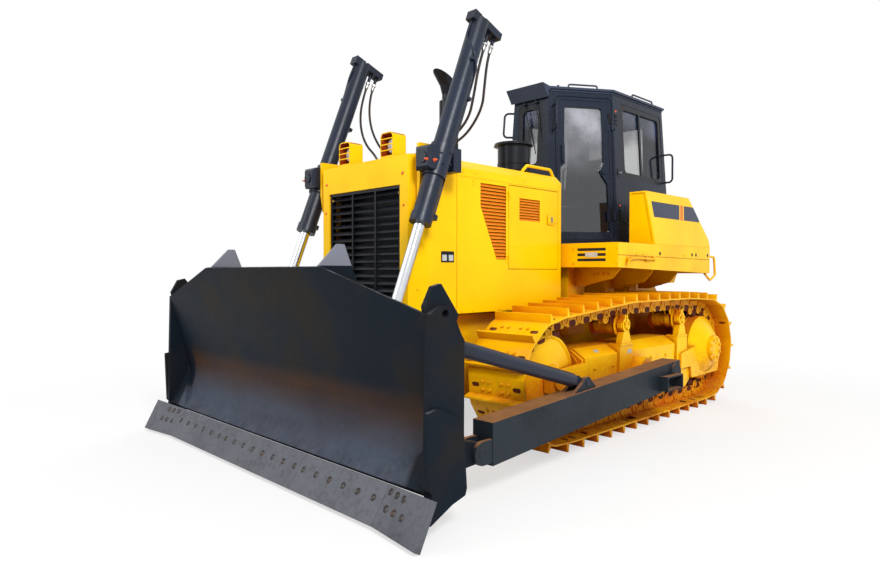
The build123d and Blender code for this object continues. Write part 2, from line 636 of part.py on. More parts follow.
def radiator_guard():
    body = plan_profile(guard_section(0), GUARD_BOTTOM_Z, GUARD_TOP_Z)
    inner = plan_profile(guard_section(-GUARD_WALL), GUARD_BOTTOM_Z - 1, GUARD_TOP_Z - GUARD_WALL)
    rear = block(HOOD_FRONT_X - 1, HOOD_FRONT_X + 60, -HOOD_HALF_WIDTH + GUARD_WALL,
                 HOOD_HALF_WIDTH - GUARD_WALL,
                 GUARD_BOTTOM_Z - 1, GUARD_TOP_Z - GUARD_WALL)
    mouth = block(GUARD_FRONT_X - 60, GUARD_FRONT_X + 10, -GRILLE_HALF_WIDTH, GRILLE_HALF_WIDTH,
                  GRILLE_BOTTOM_Z, GRILLE_TOP_Z)
    body = body - inner - rear - mouth
    # seats of the lift yokes with their pins
    for side in (-1, 1):
        seat = cross_profile([(side * (HOOD_HALF_WIDTH - 20), LIFT_PIVOT_Z - 310),
                              (side * (HOOD_HALF_WIDTH + 14), LIFT_PIVOT_Z - 150),
                              (side * (HOOD_HALF_WIDTH + 14), LIFT_PIVOT_Z + 130),
                              (side * (HOOD_HALF_WIDTH - 20), LIFT_PIVOT_Z + 130)],
                             LIFT_PIVOT_X - 130, LIFT_PIVOT_X + 100)
        body += seat + disc(LIFT_PIVOT_X, LIFT_PIVOT_Z, side * HOOD_HALF_WIDTH,
                            side * (HOOD_HALF_WIDTH + 46), TRUNNION_PIN)
    # feet on the hull rails
    for side in (-1, 1):
        body += block(HOOD_FRONT_X + 40, HULL_FRONT_X - 75, side * (HULL_HALF_WIDTH + 3),
                      side * HOOD_HALF_WIDTH,
                      GUARD_BOTTOM_Z, GUARD_BOTTOM_Z + 200)
    return body


def grille():
    depth0, depth1 = GUARD_FRONT_X - 52, GUARD_FRONT_X - 12
    w = GRILLE_HALF_WIDTH - 1
    frame = block(depth0, depth1, -w, w, GRILLE_BOTTOM_Z + 1, GRILLE_TOP_Z - 1)
    frame -= block(depth0 - 1, depth1 + 1, -w + 22, w - 22, GRILLE_BOTTOM_Z + 24, GRILLE_TOP_Z - 24)
    pitch = (GRILLE_TOP_Z - GRILLE_BOTTOM_Z - 50) / GRILLE_SLATS
    for k in range(GRILLE_SLATS):
        z = GRILLE_BOTTOM_Z + 25 + (k + 0.5) * pitch
        frame += side_profile([(depth0 + 6, z + 16), (depth0 + 12, z + 20), (depth1 - 4, z - 10),
                               (depth1 - 10, z - 14)],
                              -w + 20, w - 20)
    for y in (-150, 150):
        frame += block(depth1 - 14, depth1, y - 8, y + 8, GRILLE_BOTTOM_Z + 20, GRILLE_TOP_Z - 20)
    return frame


def radiator_core():
    return block(HOOD_FRONT_X + 130, HOOD_FRONT_X + 260, -540, 540, HULL_TOP + 5, GUARD_TOP_Z - 90)


def front_lamps():
    """Lamp housings on the guard's top, open to the front behind three bars, and their lenses."""
    housings, lenses = [], []
    x1 = GUARD_FRONT_X - 25
    x0 = x1 - 137
    z0, z1 = GUARD_TOP_Z + 0.5, GUARD_TOP_Z + 205
    for y in (-278, 278):
        box = block(x0, x1, y - 76, y + 76, z0, z1)
        box = fillet(box.edges().filter_by(Axis.X).group_by(Axis.Z)[-1], 38)
        hollow = block(x0 + 8, x1 + 1, y - 68, y + 68, z0 + 20, z1 - 8)
        hollow = fillet(hollow.edges().filter_by(Axis.X).group_by(Axis.Z)[-1], 30)
        box -= hollow
        box += bar((x0 + 7, y, z0 + 105), (x1 - 64, y, z0 + 105), 60)
        for z in (z0 + 60, z0 + 105, z0 + 150):
            box += bent_bar([(x1 - 20, y - 71, z), (x1 + 8, y - 71, z), (x1 + 8, y + 71, z),
                             (x1 - 20, y + 71, z)], 5, 14)
        housings.append(box)
        plane = Plane((x1 - 63.5, y, z0 + 105), x_dir=(0, 0, 1), z_dir=(0, 1, 0))
        dome = [(0, 0), (54, 0), (54, 8), (40, 14), (22, 18), (0, 20)]
        lens = revolve(plane * Polygon(*[(r, x) for r, x in dome], align=None),
                       Axis((x1 - 63.5, y, z0 + 105), (1, 0, 0)))
        lenses.append(lens)
    return housings, lenses


# ---------------------------------------------------------------- hood and engine sides
def hood_outline(inset):
    w = HOOD_HALF_WIDTH - inset
    s = HOOD_SHOULDER_Y - inset * 0.8
    return [(-w, HOOD_SEAM_Z - (1 if inset else 0)), (w, HOOD_SEAM_Z - (1 if inset else 0)),
            (w, HOOD_SEAM_Z + 70),
            (s, HOOD_SHOULDER_Z - inset), (0, HOOD_CROWN_Z - inset), (-s, HOOD_SHOULDER_Z - inset),
            (-w, HOOD_SEAM_Z + 70)]


def hood_top():
    front = HOOD_FRONT_X - SEAM
    body = cross_profile(hood_outline(0), HOOD_REAR_X, front)
    body -= cross_profile(hood_outline(PANEL), HOOD_REAR_X - 1, front + 1)
    # turned-in ledge that sits on the side panels
    for side in (-1, 1):
        body += block(HOOD_REAR_X, front, side * (HOOD_HALF_WIDTH - 60), side * (HOOD_HALF_WIDTH - 2),
                      HOOD_SEAM_Z,
                      HOOD_SEAM_Z + 5)
    for side in (-1, 1):
        y = side * (HOOD_SHOULDER_Y - 10)
        z = HOOD_SHOULDER_Z - 3
        body += bent_bar([(290, y, z), (215, y, z + 65), (-140, y, z + 65), (-190, y, z)], 14, 30)
    for x, y, radius in ((PRECLEANER_X, PRECLEANER_Y, 62), (EXHAUST_X, 0, EXHAUST_RADIUS + 1)):
        body -= bar((x, y, HOOD_SEAM_Z), (x, y, HOOD_CROWN_Z + 10), radius)
    return body


def louvre_slats(points, z0, z1, count, y):
    """Slanting slats that fill a window in a side panel."""
    pitch = (z1 - z0) / count
    window = side_profile(points, y - 40, y + 40)
    slats = None
    for k in range(count):
        z = z0 + (k + 0.5) * pitch
        slat = cross_profile([(y - PANEL - 8, z + 12), (y - PANEL - 8, z + 15), (y - 1, z - 8),
                              (y - 1, z - 11)],
                             min(p[0] for p in points), max(p[0] for p in points))
        slat = slat & window
        slats = slat if slats is None else slats + slat
    return slats


def tall_louvre():
    return [(LOUVRE_FRONT_X, LOUVRE_TOP_Z), (LOUVRE_REAR_X, LOUVRE_TOP_Z), (LOUVRE_REAR_X, LOUVRE_LOW_Z),
            (LOUVRE_HEEL_X, LOUVRE_LOW_Z), (LOUVRE_FRONT_X, LOUVRE_BEND_Z)]


def door_vent():
    return [(VENT_FRONT_X, VENT_TOP_Z), (VENT_REAR_X, VENT_TOP_Z), (VENT_REAR_X, VENT_LOW_Z),
            (VENT_FRONT_X, VENT_LOW_Z)]


def small_hinges(moving):
    """Knuckles of the engine door's hinges: the door's middle ones, or the panel's with their pins."""
    x = DOOR_FRONT_X - SEAM / 2
    y = HOOD_HALF_WIDTH + LATCH_HINGE_RISE
    body = None
    span = DOOR_TOP_Z - DOOR_BOTTOM_Z
    for share in (0.12, 0.88):
        z = DOOR_BOTTOM_Z + share * span
        if moving:
            part = bar((x, y, z - 18), (x, y, z + 18), LATCH_HINGE)
            part += block(x - 34, x, HOOD_HALF_WIDTH - 1, y - 3, z - 18, z + 18)
            part -= bar((x, y, z - 20), (x, y, z + 20), 3.1)
        else:
            part = bar((x, y, z - 40), (x, y, z + 40), 3)
            for z0 in (z - 40, z + 18.5):
                part += bar((x, y, z0), (x, y, z0 + 21.5), LATCH_HINGE)
                part += block(x, x + 34, HOOD_HALF_WIDTH - 1, y - 3, z0, z0 + 21.5)
        body = part if body is None else body + part
    return body


def hood_side():
    """Fixed engine side panel with the tall louvre, down to the hull."""
    y1 = HOOD_HALF_WIDTH
    y0 = y1 - PANEL
    front = HOOD_FRONT_X - SEAM
    outline = [(HOOD_REAR_X, SIDE_BOTTOM), (front, SIDE_BOTTOM), (front, HOOD_SEAM_Z - 1),
               (HOOD_REAR_X, HOOD_SEAM_Z - 1)]
    body = side_profile(outline, y0, y1)
    body -= side_profile([(DOOR_FRONT_X, DOOR_BOTTOM_Z - SEAM), (DOOR_FRONT_X, DOOR_TOP_Z + SEAM),
                          (DOOR_REAR_X - SEAM, DOOR_TOP_Z + SEAM),
                          (DOOR_REAR_X - SEAM, DOOR_BOTTOM_Z - SEAM)],
                         y0 - 5, y1 + 5)
    body -= side_profile(tall_louvre(), y0 - 5, y1 + 5)
    body += louvre_slats(tall_louvre(), LOUVRE_LOW_Z, LOUVRE_TOP_Z, LOUVRE_SLATS, y1)
    body += small_hinges(False)
    # stiffening ledge at the hull and a foot to it
    body += block(HOOD_REAR_X + 20, front - 20, HULL_HALF_WIDTH + 0.5, y1 - 1, SIDE_BOTTOM, SIDE_BOTTOM + 8)
    return body


def engine_door():
    y1 = HOOD_HALF_WIDTH
    y0 = y1 - PANEL
    front = DOOR_FRONT_X - SEAM
    body = side_profile([(DOOR_REAR_X, DOOR_BOTTOM_Z), (front, DOOR_BOTTOM_Z), (front, DOOR_TOP_Z),
                         (DOOR_REAR_X, DOOR_TOP_Z)], y0, y1)
    body -= side_profile(door_vent(), y0 - 5, y1 + 5)
    body += louvre_slats(door_vent(), VENT_LOW_Z, VENT_TOP_Z, VENT_SLATS, y1)
    latch = block(DOOR_REAR_X + 20, DOOR_REAR_X + 120, y1, y1 + 8, VENT_LOW_Z, VENT_LOW_Z + 60)
    return body + latch + small_hinges(True)


def pre_cleaner():
    """Canister with its mushroom rim, on a stub through the hood."""
    base = HOOD_CROWN_Z + 2
    profile = [(0, base - 120), (60, base - 120), (60, base + 6), (120, base + 6), (150, base + 30),
               (150, PRECLEANER_TOP - 45), (188, PRECLEANER_TOP - 38), (180, PRECLEANER_TOP - 14),
               (120, PRECLEANER_TOP), (0, PRECLEANER_TOP)]
    plane = Plane((PRECLEANER_X, PRECLEANER_Y, 0), x_dir=(1, 0, 0), z_dir=(0, -1, 0))
    return revolve(plane * Polygon(*profile, align=None), Axis((PRECLEANER_X, PRECLEANER_Y, 0), (0, 0, 1)))


def flared_tail(wall):
    """Loft of the tail: neck, throat and mouth, each (x, z, radius, lean in degrees)."""
    rings = []
    for x, z, radius, lean in ((0, 60, EXHAUST_NECK, 0), (12, 150, EXHAUST_NECK + 12, 10),
                               (85, 320, EXHAUST_MOUTH + 12, 26)):
        tilt = math.radians(lean)
        plane = Plane((EXHAUST_X + x, 0, EXHAUST_SLEEVE_Z + z), x_dir=(0, 1, 0),
                      z_dir=(math.sin(tilt), 0, math.cos(tilt)))
        rings.append((plane * Circle(radius - wall)).face())
    return loft(rings, ruled=True)


def exhaust_stack():
    """Sleeved stack whose flared tail leans forward and is cut slanting to the rear."""
    base, top = HOOD_SEAM_Z - 190, EXHAUST_SLEEVE_Z
    plane = Plane((EXHAUST_X, 0, 0), x_dir=(1, 0, 0), z_dir=(0, -1, 0))
    profile = [(0, base), (EXHAUST_RADIUS, base), (EXHAUST_RADIUS, top), (EXHAUST_NECK + 14, top + 6),
               (EXHAUST_NECK, top + 18), (EXHAUST_NECK, top + 61), (0, top + 61)]
    body = revolve(plane * Polygon(*profile, align=None), Axis((EXHAUST_X, 0, 0), (0, 0, 1)))
    body += flared_tail(0)
    body -= flared_tail(EXHAUST_LIP)
    # the mouth is higher at the front
    front, rear = Vector(EXHAUST_X + 128, 0, EXHAUST_SLEEVE_Z + 237), Vector(EXHAUST_X - 49, 0,
                                                                             EXHAUST_SLEEVE_Z + 143)
    slope = (front - rear).normalized()
    lid = Plane(origin=(front + rear) * 0.5, x_dir=(0, 1, 0), z_dir=(-slope.Z, 0, slope.X))
    return body - extrude(lid * Rectangle(700, 700), amount=400)


# ---------------------------------------------------------------- cab
def cab_outline(grow=0.0, rear_grow=0.0):
    """Six-sided plan, grown outward, its rear wall by a value of its own."""
    run = CAB_FRONT_X - CAB_CORNER_X
    rise = CAB_HALF_WIDTH - CAB_FRONT_HALF
    slant = math.hypot(run, rise)
    nx, ny = rise / slant, run / slant
    front = CAB_FRONT_X + grow
    half = CAB_HALF_WIDTH + grow
    # the slanted wall keeps its direction: nx * x + ny * y = reach
    reach = nx * CAB_FRONT_X + ny * CAB_FRONT_HALF + grow
    front_half = (reach - nx * front) / ny
    corner = (reach - ny * half) / nx
    rear = CAB_REAR_X - rear_grow
    return [(front, -front_half), (front, front_half), (corner, half), (rear, half), (rear, -half),
            (corner, -half)]


def cab_body(grow, z0, z1):
    sections = []
    for z in (z0, z1):
        lean = (CAB_BASE_Z - z) * math.tan(math.radians(CAB_TAPER))
        rear_lean = (CAB_BASE_Z - z) * math.tan(math.radians(CAB_REAR_TAPER))
        sections.append((Pos(0, 0, z) * Polygon(*cab_outline(grow + lean, grow + rear_lean),
                                                align=None)).face())
    return loft(sections, ruled=True)


def door_plane(side):
    """Plane on the outer face of a slanted wall: origin at its rear corner, x forward, z outward."""
    run = CAB_FRONT_X - CAB_CORNER_X
    rise = CAB_HALF_WIDTH - CAB_FRONT_HALF
    slant = math.hypot(run, rise)
    lean = math.radians(CAB_TAPER)
    x_dir = Vector(run / slant, -side * rise / slant, 0)
    out = Vector(rise / slant * math.cos(lean), side * run / slant * math.cos(lean), math.sin(lean))
    return Plane((CAB_CORNER_X, side * CAB_HALF_WIDTH, CAB_BASE_Z), x_dir=x_dir, z_dir=out)


def door_point(side, u, v, w=0.0):
    """A point by its place on the slanted wall: forward of the rear corner, up the wall, outward."""
    plane = door_plane(side)
    up = plane.y_dir if plane.y_dir.Z > 0 else plane.y_dir * -1
    return plane.origin + plane.x_dir * u + up * v + plane.z_dir * w


def door_prism(side, shape, low, high):
    """A flat shape in (forward, up) of the slanted wall, from low to high outward."""
    plane = door_plane(side)
    if plane.y_dir.Z < 0:
        shape = mirror(shape, about=Plane.XZ)
    return extrude(plane.offset(low) * shape, amount=high - low, dir=plane.z_dir)


def door_panel(side, inset, low, high):
    """Rounded rectangle on the slanted wall's plane."""
    u0, u1 = DOOR_REAR + inset, DOOR_REAR + DOOR_WIDTH - inset
    v0, v1 = DOOR_LOW + inset, DOOR_HIGH - inset
    shape = Pos((u0 + u1) / 2, (v0 + v1) / 2) * RectangleRounded(u1 - u0, v1 - v0, DOOR_CORNER - inset)
    return door_prism(side, shape, low, high)


def door_pane(grow):
    """Outline of the door's glass: wide below, with a notch for the lock and one for the handle."""
    front = DOOR_REAR + DOOR_WIDTH
    # (forward, up) round the pane from its top front corner
    corners = [(front - 102, DOOR_HIGH - 104), (DOOR_REAR + 112, DOOR_HIGH - 104), (DOOR_REAR + 100, 860),
               (DOOR_REAR + 150, 770), (DOOR_REAR + 62, 640), (DOOR_REAR + 46, DOOR_LOW + 92),
               (front - 26, DOOR_LOW + 92), (front - 46, 800), (front - 96, 840), (front - 96, 1040),
               (front - 92, 1080)]
    shape = Polygon(*corners, align=None)
    shape = fillet(shape.vertices(), 26)
    return offset(shape, amount=grow) if grow else shape


def hinge_knuckles(side, moving):
    """Cab door hinges: the door's middle knuckles, or the post's with their pins."""
    u, w = DOOR_REAR - DOOR_GAP / 2, HINGE_RISE
    half = HINGE_LENGTH / 2
    body = None
    for v in (DOOR_LOW + 265, DOOR_HIGH - 285):
        if moving:
            part = bar(door_point(side, u, v - half + 31, w), door_point(side, u, v + half - 31, w),
                       HINGE_RADIUS)
            leaf = Pos(u + 34, v) * Rectangle(68, HINGE_LENGTH - 62)
            part += door_prism(side, leaf, -1, 6)
            part += door_prism(side, Pos(u + 48, v) * Rectangle(56, HINGE_LENGTH + 30), -1, 6)
            part -= bar(door_point(side, u, v - half, w), door_point(side, u, v + half, w), 5.1)
        else:
            part = bar(door_point(side, u, v - half, w), door_point(side, u, v + half, w), 5)
            for low in (-half, half - 30):
                part += bar(door_point(side, u, v + low, w), door_point(side, u, v + low + 30, w),
                            HINGE_RADIUS)
                part += door_prism(side, Pos(u - 18, v + low + 15) * Rectangle(36, 30), -12, 6)
        body = part if body is None else body + part
    return body


def cab_shell():
    """Walls and posts of the cab, open for the doors and windows, with its floor and handles."""
    body = cab_body(0, CAB_BASE_Z, CAB_TOP_Z)
    body -= cab_body(-CAB_WALL, CAB_BASE_Z + 30, CAB_TOP_Z + 1)
    for window in window_cuts(0):
        body -= window
    for side in (-1, 1):
        body -= door_panel(side, -DOOR_GAP, -CAB_WALL - 40, 60)
        body += hinge_knuckles(side, False)
        # loop handles: at the front post and at the rear corner
        front = DOOR_REAR + DOOR_WIDTH + 38
        body += bent_bar([door_point(side, front - 4, 1180, -10), door_point(side, front - 4, 1180, 105),
                          door_point(side, front - 16, 1440, 105),
                          door_point(side, front - 16, 1440, -10)], 11, 45)
        y = side * (CAB_HALF_WIDTH - 50)
        x = CAB_REAR_X + 60
        body += bent_bar([(x, y - side * 20, 2470), (x, y + side * 105, 2470), (x, y + side * 105, 2790),
                          (x, y - side * 25, 2790)], 11, 45)
    return body


def window_cuts(inset):
    """Front, side and rear window openings, less an inset all round."""
    i = inset
    front = block(CAB_FRONT_X - 260, CAB_FRONT_X + 100, -FRONT_WINDOW_HALF + i, FRONT_WINDOW_HALF - i,
                  FRONT_WINDOW_LOW + i, FRONT_WINDOW_HIGH - i)
    made = [fillet(front.edges().filter_by(Axis.X), WINDOW_CORNER)]
    for side in (-1, 1):
        pane = block(CAB_REAR_X + 92 + i, CAB_CORNER_X - 160 - i, side * (CAB_HALF_WIDTH - 260),
                     side * (CAB_HALF_WIDTH + 100), SIDE_WINDOW_LOW + i, SIDE_WINDOW_HIGH - i)
        made.append(fillet(pane.edges().filter_by(Axis.Y), WINDOW_CORNER))
    rear = block(CAB_REAR_X - 100, CAB_REAR_X + 260, -430 + i, 430 - i, SIDE_WINDOW_LOW + i,
                 SIDE_WINDOW_HIGH - 30 - i)
    made.append(fillet(rear.edges().filter_by(Axis.X), WINDOW_CORNER))
    return made


def cab_windows():
    """Panes set in the middle of the walls."""
    layer = cab_body(-20, CAB_BASE_Z + 100, CAB_TOP_Z - 50) - cab_body(-20 - GLASS, CAB_BASE_Z + 99,
                                                                       CAB_TOP_Z - 49)
    return [layer & cut for cut in window_cuts(0.5)]


def window_frames():
    """Dark rims round the panes, and the bars of the sliding side panes."""
    layer = cab_body(-3, CAB_BASE_Z + 100, CAB_TOP_Z - 50) - cab_body(-19.5, CAB_BASE_Z + 99,
                                                                      CAB_TOP_Z - 49)
    made = []
    for outer, inner in zip(window_cuts(0.5), window_cuts(58)):
        made.append((layer & outer) - inner)
    middle = (CAB_REAR_X + CAB_CORNER_X) / 2
    for k, side in ((1, -1), (2, 1)):
        y0, y1 = sorted((side * (CAB_HALF_WIDTH - 200), side * (CAB_HALF_WIDTH + 50)))
        mullion = block(middle - 18, middle + 18, y0, y1, SIDE_WINDOW_LOW + 20, SIDE_WINDOW_HIGH - 20)
        made[k] = made[k] + (layer & mullion)
    return made


def cab_roof():
    """Roof plate on a narrower plate, the visor over the front window and low rails on the edge."""
    step = CAB_TOP_Z + ROOF_THICK * 0.45
    plate = cab_body(6, CAB_TOP_Z + 0.5, step + 1) + cab_body(ROOF_OVERHANG, step, CAB_TOP_Z + ROOF_THICK)
    shrink = math.tan(math.radians(CAB_TAPER)) * (CAB_TOP_Z - CAB_BASE_Z)
    front = CAB_FRONT_X - shrink
    half = CAB_FRONT_HALF - shrink * 0.5 + 15
    visor = side_profile([(front - 20, CAB_TOP_Z + 1), (front + ROOF_OVERHANG + 2, CAB_TOP_Z - 40),
                          (front + ROOF_OVERHANG + 14, CAB_TOP_Z - 70),
                          (front + 125, CAB_TOP_Z + ROOF_THICK + 15),
                          (front - 20, CAB_TOP_Z + ROOF_THICK - 5)], -half, half)
    visor -= block(front - 30, front + ROOF_OVERHANG, -half - 1, half + 1, CAB_TOP_Z - 100, CAB_TOP_Z + 0.5)
    body = plate + visor
    z = CAB_TOP_Z + ROOF_THICK
    for side in (-1, 1):
        y = side * (CAB_HALF_WIDTH - shrink + 4)
        for x0, x1 in ((-1590, -2040),):
            body += bent_bar([(x0, y, z - 4), (x0, y, z + 30), (x1, y, z + 30), (x1, y, z - 4)], 9, 20)
        a = door_point(side, 205, 1600, 6)
        b = door_point(side, 525, 1600, 6)
        rise = Vector(0, 0, 1)
        base = z - 4 - a.Z
        body += bent_bar([a + rise * base, a + rise * (base + 34), b + rise * (base + 34),
                          b + rise * base], 9, 20)
    return body + bar((-700, 260, z - 4), (-700, 260, z + 24), 12)


def cab_door(side):
    """Door as thick as the wall: a frame round its pane, a raised rim, hinges and the handle."""
    body = door_panel(side, 0, -CAB_WALL, 0) - door_prism(side, door_pane(0), -CAB_WALL - 10, 10)
    body += door_panel(side, 16, -1, 5) - door_panel(side, 34, -5, 9) + hinge_knuckles(side, True)
    front = DOOR_REAR + DOOR_WIDTH
    handle = bent_bar([door_point(side, front - 62, 855, -4), door_point(side, front - 62, 855, 26),
                       door_point(side, front - 62, 1030, 26), door_point(side, front - 62, 1030, -4)],
                       8, 16)
    lock = door_prism(side, Pos(DOOR_REAR + 92, 775) * Circle(36), -1, 14)
    return body + handle + lock


def door_glass(side):
    return door_prism(side, door_pane(-0.5), -26, -20)


def seat():
    x = -1560
    z = CAB_BASE_Z + 30
    base = block(x - 200, x + 200, -180, 180, z, z + 330)
    cushion = block(x - 260, x + 280, -260, 260, z + 330, z + 470)
    cushion = fillet(cushion.edges(), 40)
    back = side_profile([(x - 240, z + 430), (x - 110, z + 430), (x - 200, z + 1040),
                         (x - 300, z + 1040)], -240, 240)
    back = fillet(back.edges().filter_by(Axis.Y), 30)
    return base + cushion + back


def console():
    z = CAB_BASE_Z + 30
    dash = side_profile([(-860, z), (-640, z), (-640, z + 620), (-760, z + 700), (-900, z + 560)], -190,
                        190)
    left = block(-1700, -1300, 320, 470, z, z + 560)
    right = block(-1700, -1300, -470, -320, z, z + 560)
    lever = bar((-1340, 395, z + 560), (-1300, 395, z + 720), 16) + Pos(-1298, 395, z + 735) * Sphere(32)
    blade_lever = bar((-1340, -395, z + 560), (-1300, -395, z + 720), 16) + Pos(-1298, -395,
                                                                                z + 735) * Sphere(32)
    return [dash, left + lever, right + blade_lever]


# ---------------------------------------------------------------- platform, boxes and tank
def platform():
    """Deck over the tracks with its skirts, one piece left to right behind the hood."""
    p = PLATFORM_PLATE
    plan = [(PLATFORM_FRONT_X, HOOD_HALF_WIDTH), (PLATFORM_CORNER_X, PLATFORM_HALF),
            (PLATFORM_REAR_X, PLATFORM_HALF),
            (PLATFORM_REAR_X, -PLATFORM_HALF), (PLATFORM_CORNER_X, -PLATFORM_HALF),
            (PLATFORM_FRONT_X, -HOOD_HALF_WIDTH)]
    inner = [(PLATFORM_FRONT_X - p, HOOD_HALF_WIDTH - p), (PLATFORM_CORNER_X - p, PLATFORM_HALF - p),
             (PLATFORM_REAR_X + p, PLATFORM_HALF - p), (PLATFORM_REAR_X + p, -PLATFORM_HALF + p),
             (PLATFORM_CORNER_X - p, -PLATFORM_HALF + p), (PLATFORM_FRONT_X - p, -HOOD_HALF_WIDTH + p)]
    deck = plan_profile(plan, PLATFORM_SKIRT_REAR, PLATFORM_TOP) - plan_profile(inner,
                                                                                PLATFORM_SKIRT_REAR - 1,
                                                                               PLATFORM_TOP - p)
    # the skirts' lower edge falls to the rear
    trim = side_profile([(PLATFORM_FRONT_X + 50, PLATFORM_SKIRT_REAR - 50),
                         (PLATFORM_FRONT_X + 50, PLATFORM_SKIRT_FRONT),
                         (PLATFORM_REAR_X, PLATFORM_SKIRT_REAR),
                         (PLATFORM_REAR_X, PLATFORM_SKIRT_REAR - 50)],
                        -PLATFORM_HALF - 50, PLATFORM_HALF + 50)
    deck -= trim
    # folded line along each side
    for side in (-1, 1):
        y0, y1 = sorted((side * (PLATFORM_HALF - 4), side * (PLATFORM_HALF + 5)))
        deck -= side_profile([(PLATFORM_CORNER_X + 10, 1583), (PLATFORM_REAR_X - 5, 1561),
                              (PLATFORM_REAR_X - 5, 1567),
                              (PLATFORM_CORNER_X + 10, 1589)], y0, y1)
    # vent slots in the front panels
    for side in (-1, 1):
        for z in (1530, 1578, 1626):
            deck -= block(PLATFORM_CORNER_X - 60, PLATFORM_FRONT_X + 60, side * 800, side * 1080, z, z + 26)
    # well under the cab and the tank
    well = block(PLATFORM_REAR_X - 5, PLATFORM_FRONT_X - 40, -HOOD_HALF_WIDTH + 60, HOOD_HALF_WIDTH - 60,
                 PLATFORM_SKIRT_REAR - 5, PLATFORM_TOP - p)
    deck -= well
    # cross plates under the deck: place, outer reach, lower edge
    for x, reach, low in ((-450, 1140, 1300), (-1130, 1100, 1262), (-1700, 1090, 1250)):
        for side in (-1, 1):
            a = HOOD_HALF_WIDTH + 1
            outline = [(side * a, low), (side * (a + 120), low), (side * (reach - 90), low + 70),
                       (side * reach, low + 170),
                       (side * reach, PLATFORM_TOP - p), (side * a, PLATFORM_TOP - p)]
            deck += cross_profile(outline, x - 9, x + 9)
    # loop rails at the rear corners
    for side in (-1, 1):
        y = side * (PLATFORM_HALF - 30)
        x = PLATFORM_REAR_X
        deck += bent_bar([(x + 5, y, 1603), (x - 190, y, 1600), (x - 220, y, 1395), (x - 80, y, 1338),
                          (x + 60, y, 1415)], 13, 42)
    return deck


def fender_box():
    x0, x1 = PLATFORM_REAR_X, BOX_FRONT_X
    z0 = PLATFORM_TOP + 0.5
    low_y = PLATFORM_HALF
    body = cross_profile([(BOX_INNER_Y, z0), (low_y, z0), (low_y, z0 + 12), (BOX_TOP_OUTER_Y, BOX_TOP_Z),
                          (BOX_INNER_Y, BOX_TOP_Z)], x0, x1)
    body -= side_profile([(BOX_TOP_REAR_X, BOX_TOP_Z + 1), (x0, BOX_KINK_Z), (x0 - 10, BOX_KINK_Z),
                          (x0 - 10, BOX_TOP_Z + 1)], 0, 2 * low_y)
    # the front panel is set back inside a rim
    rim = BOX_RIM
    body -= cross_profile([(BOX_INNER_Y + rim, z0 + 2 * rim), (low_y - 1.6 * rim, z0 + 2 * rim),
                           (BOX_TOP_OUTER_Y - rim, BOX_TOP_Z - rim), (BOX_INNER_Y + rim, BOX_TOP_Z - rim)],
                          x1 - 12, x1 + 5)
    return body


def fuel_tank():
    body = side_profile([(TANK_FRONT_X, TANK_BOTTOM), (TANK_REAR_X + 60, TANK_BOTTOM),
                         (TANK_REAR_X, TANK_BOTTOM + 80),
                         (TANK_REAR_X, TANK_TOP - 220), (TANK_REAR_X + 130, TANK_TOP),
                         (TANK_FRONT_X, TANK_TOP)],
                        -TANK_HALF_WIDTH, TANK_HALF_WIDTH)
    return body


# ---------------------------------------------------------------- blade
def blade_curve(back):
    """Section of the mouldboard's face from the seam to the top edge, moved back square to itself."""
    points = [Vector(BLADE_SEAM_X, BLADE_SEAM_Z), Vector(BLADE_FOLD_X, BLADE_FOLD_Z),
              Vector(BLADE_HOLLOW_X, BLADE_HOLLOW_Z), Vector(BLADE_BEND_X, BLADE_BEND_Z),
              Vector(BLADE_TOP_X, BLADE_TOP_Z)]
    rise = (points[-1] - points[-2]).normalized()
    start = (Vector(BLADE_HOLLOW_X - BLADE_SEAM_X, BLADE_FOLD_Z - BLADE_SEAM_Z)).normalized()
    moved = []
    for k, point in enumerate(points):
        if k == 0:
            run = start
        elif k >= len(points) - 2:
            run = rise
        else:
            run = (points[k + 1] - points[k - 1]).normalized()
        moved.append(point + Vector(-run.Y, run.X) * back)
    low = Spline(*[tuple(p) for p in moved[:4]], tangents=[tuple(start), tuple(rise)])
    return low, Line(tuple(moved[3]), tuple(moved[4]))


def blade_layer(front, back, y0, y1):
    """Solid between two moved copies of the blade's section."""
    low0, high0 = blade_curve(front)
    low1, high1 = blade_curve(back)
    face = make_face([low0, high0, Line(high0 @ 1, high1 @ 1), low1, high1, Line(low1 @ 0, low0 @ 0)])
    plane = Plane((0, y0, 0), x_dir=(1, 0, 0), z_dir=(0, -1, 0))
    return extrude(plane * face, amount=y1 - y0, dir=(0, 1, 0))


def ahead_of_blade():
    """Everything ahead of the middle of the mouldboard, between its seam and its top edge."""
    low, high = blade_curve(BLADE_PLATE / 2)
    far = BLADE_TOP_X + 400
    top, seam = high @ 1, low @ 0
    face = make_face([low, high, Line(top, (far, top.Y)), Line((far, top.Y), (far, seam.Y)),
                      Line((far, seam.Y), seam)])
    reach = BLADE_SIDE_Y + 200
    plane = Plane((0, -reach, 0), x_dir=(1, 0, 0), z_dir=(0, -1, 0))
    return extrude(plane * face, amount=2 * reach, dir=(0, 1, 0))


def mouldboard():
    w = BLADE_HALF_WIDTH
    body = blade_layer(0, BLADE_PLATE, -w, w)
    # shoulders: the top falls away outside the middle part
    for side in (-1, 1):
        body -= cross_profile([(side * BLADE_CENTRE_HALF, BLADE_TOP_Z + 1), (side * w, BLADE_CORNER_Z),
                               (side * (w + 50), BLADE_CORNER_Z), (side * (w + 50), BLADE_TOP_Z + 50),
                               (side * BLADE_CENTRE_HALF, BLADE_TOP_Z + 50)], BLADE_REAR_X - 100,
                               BLADE_TOP_X + 50)
    return body


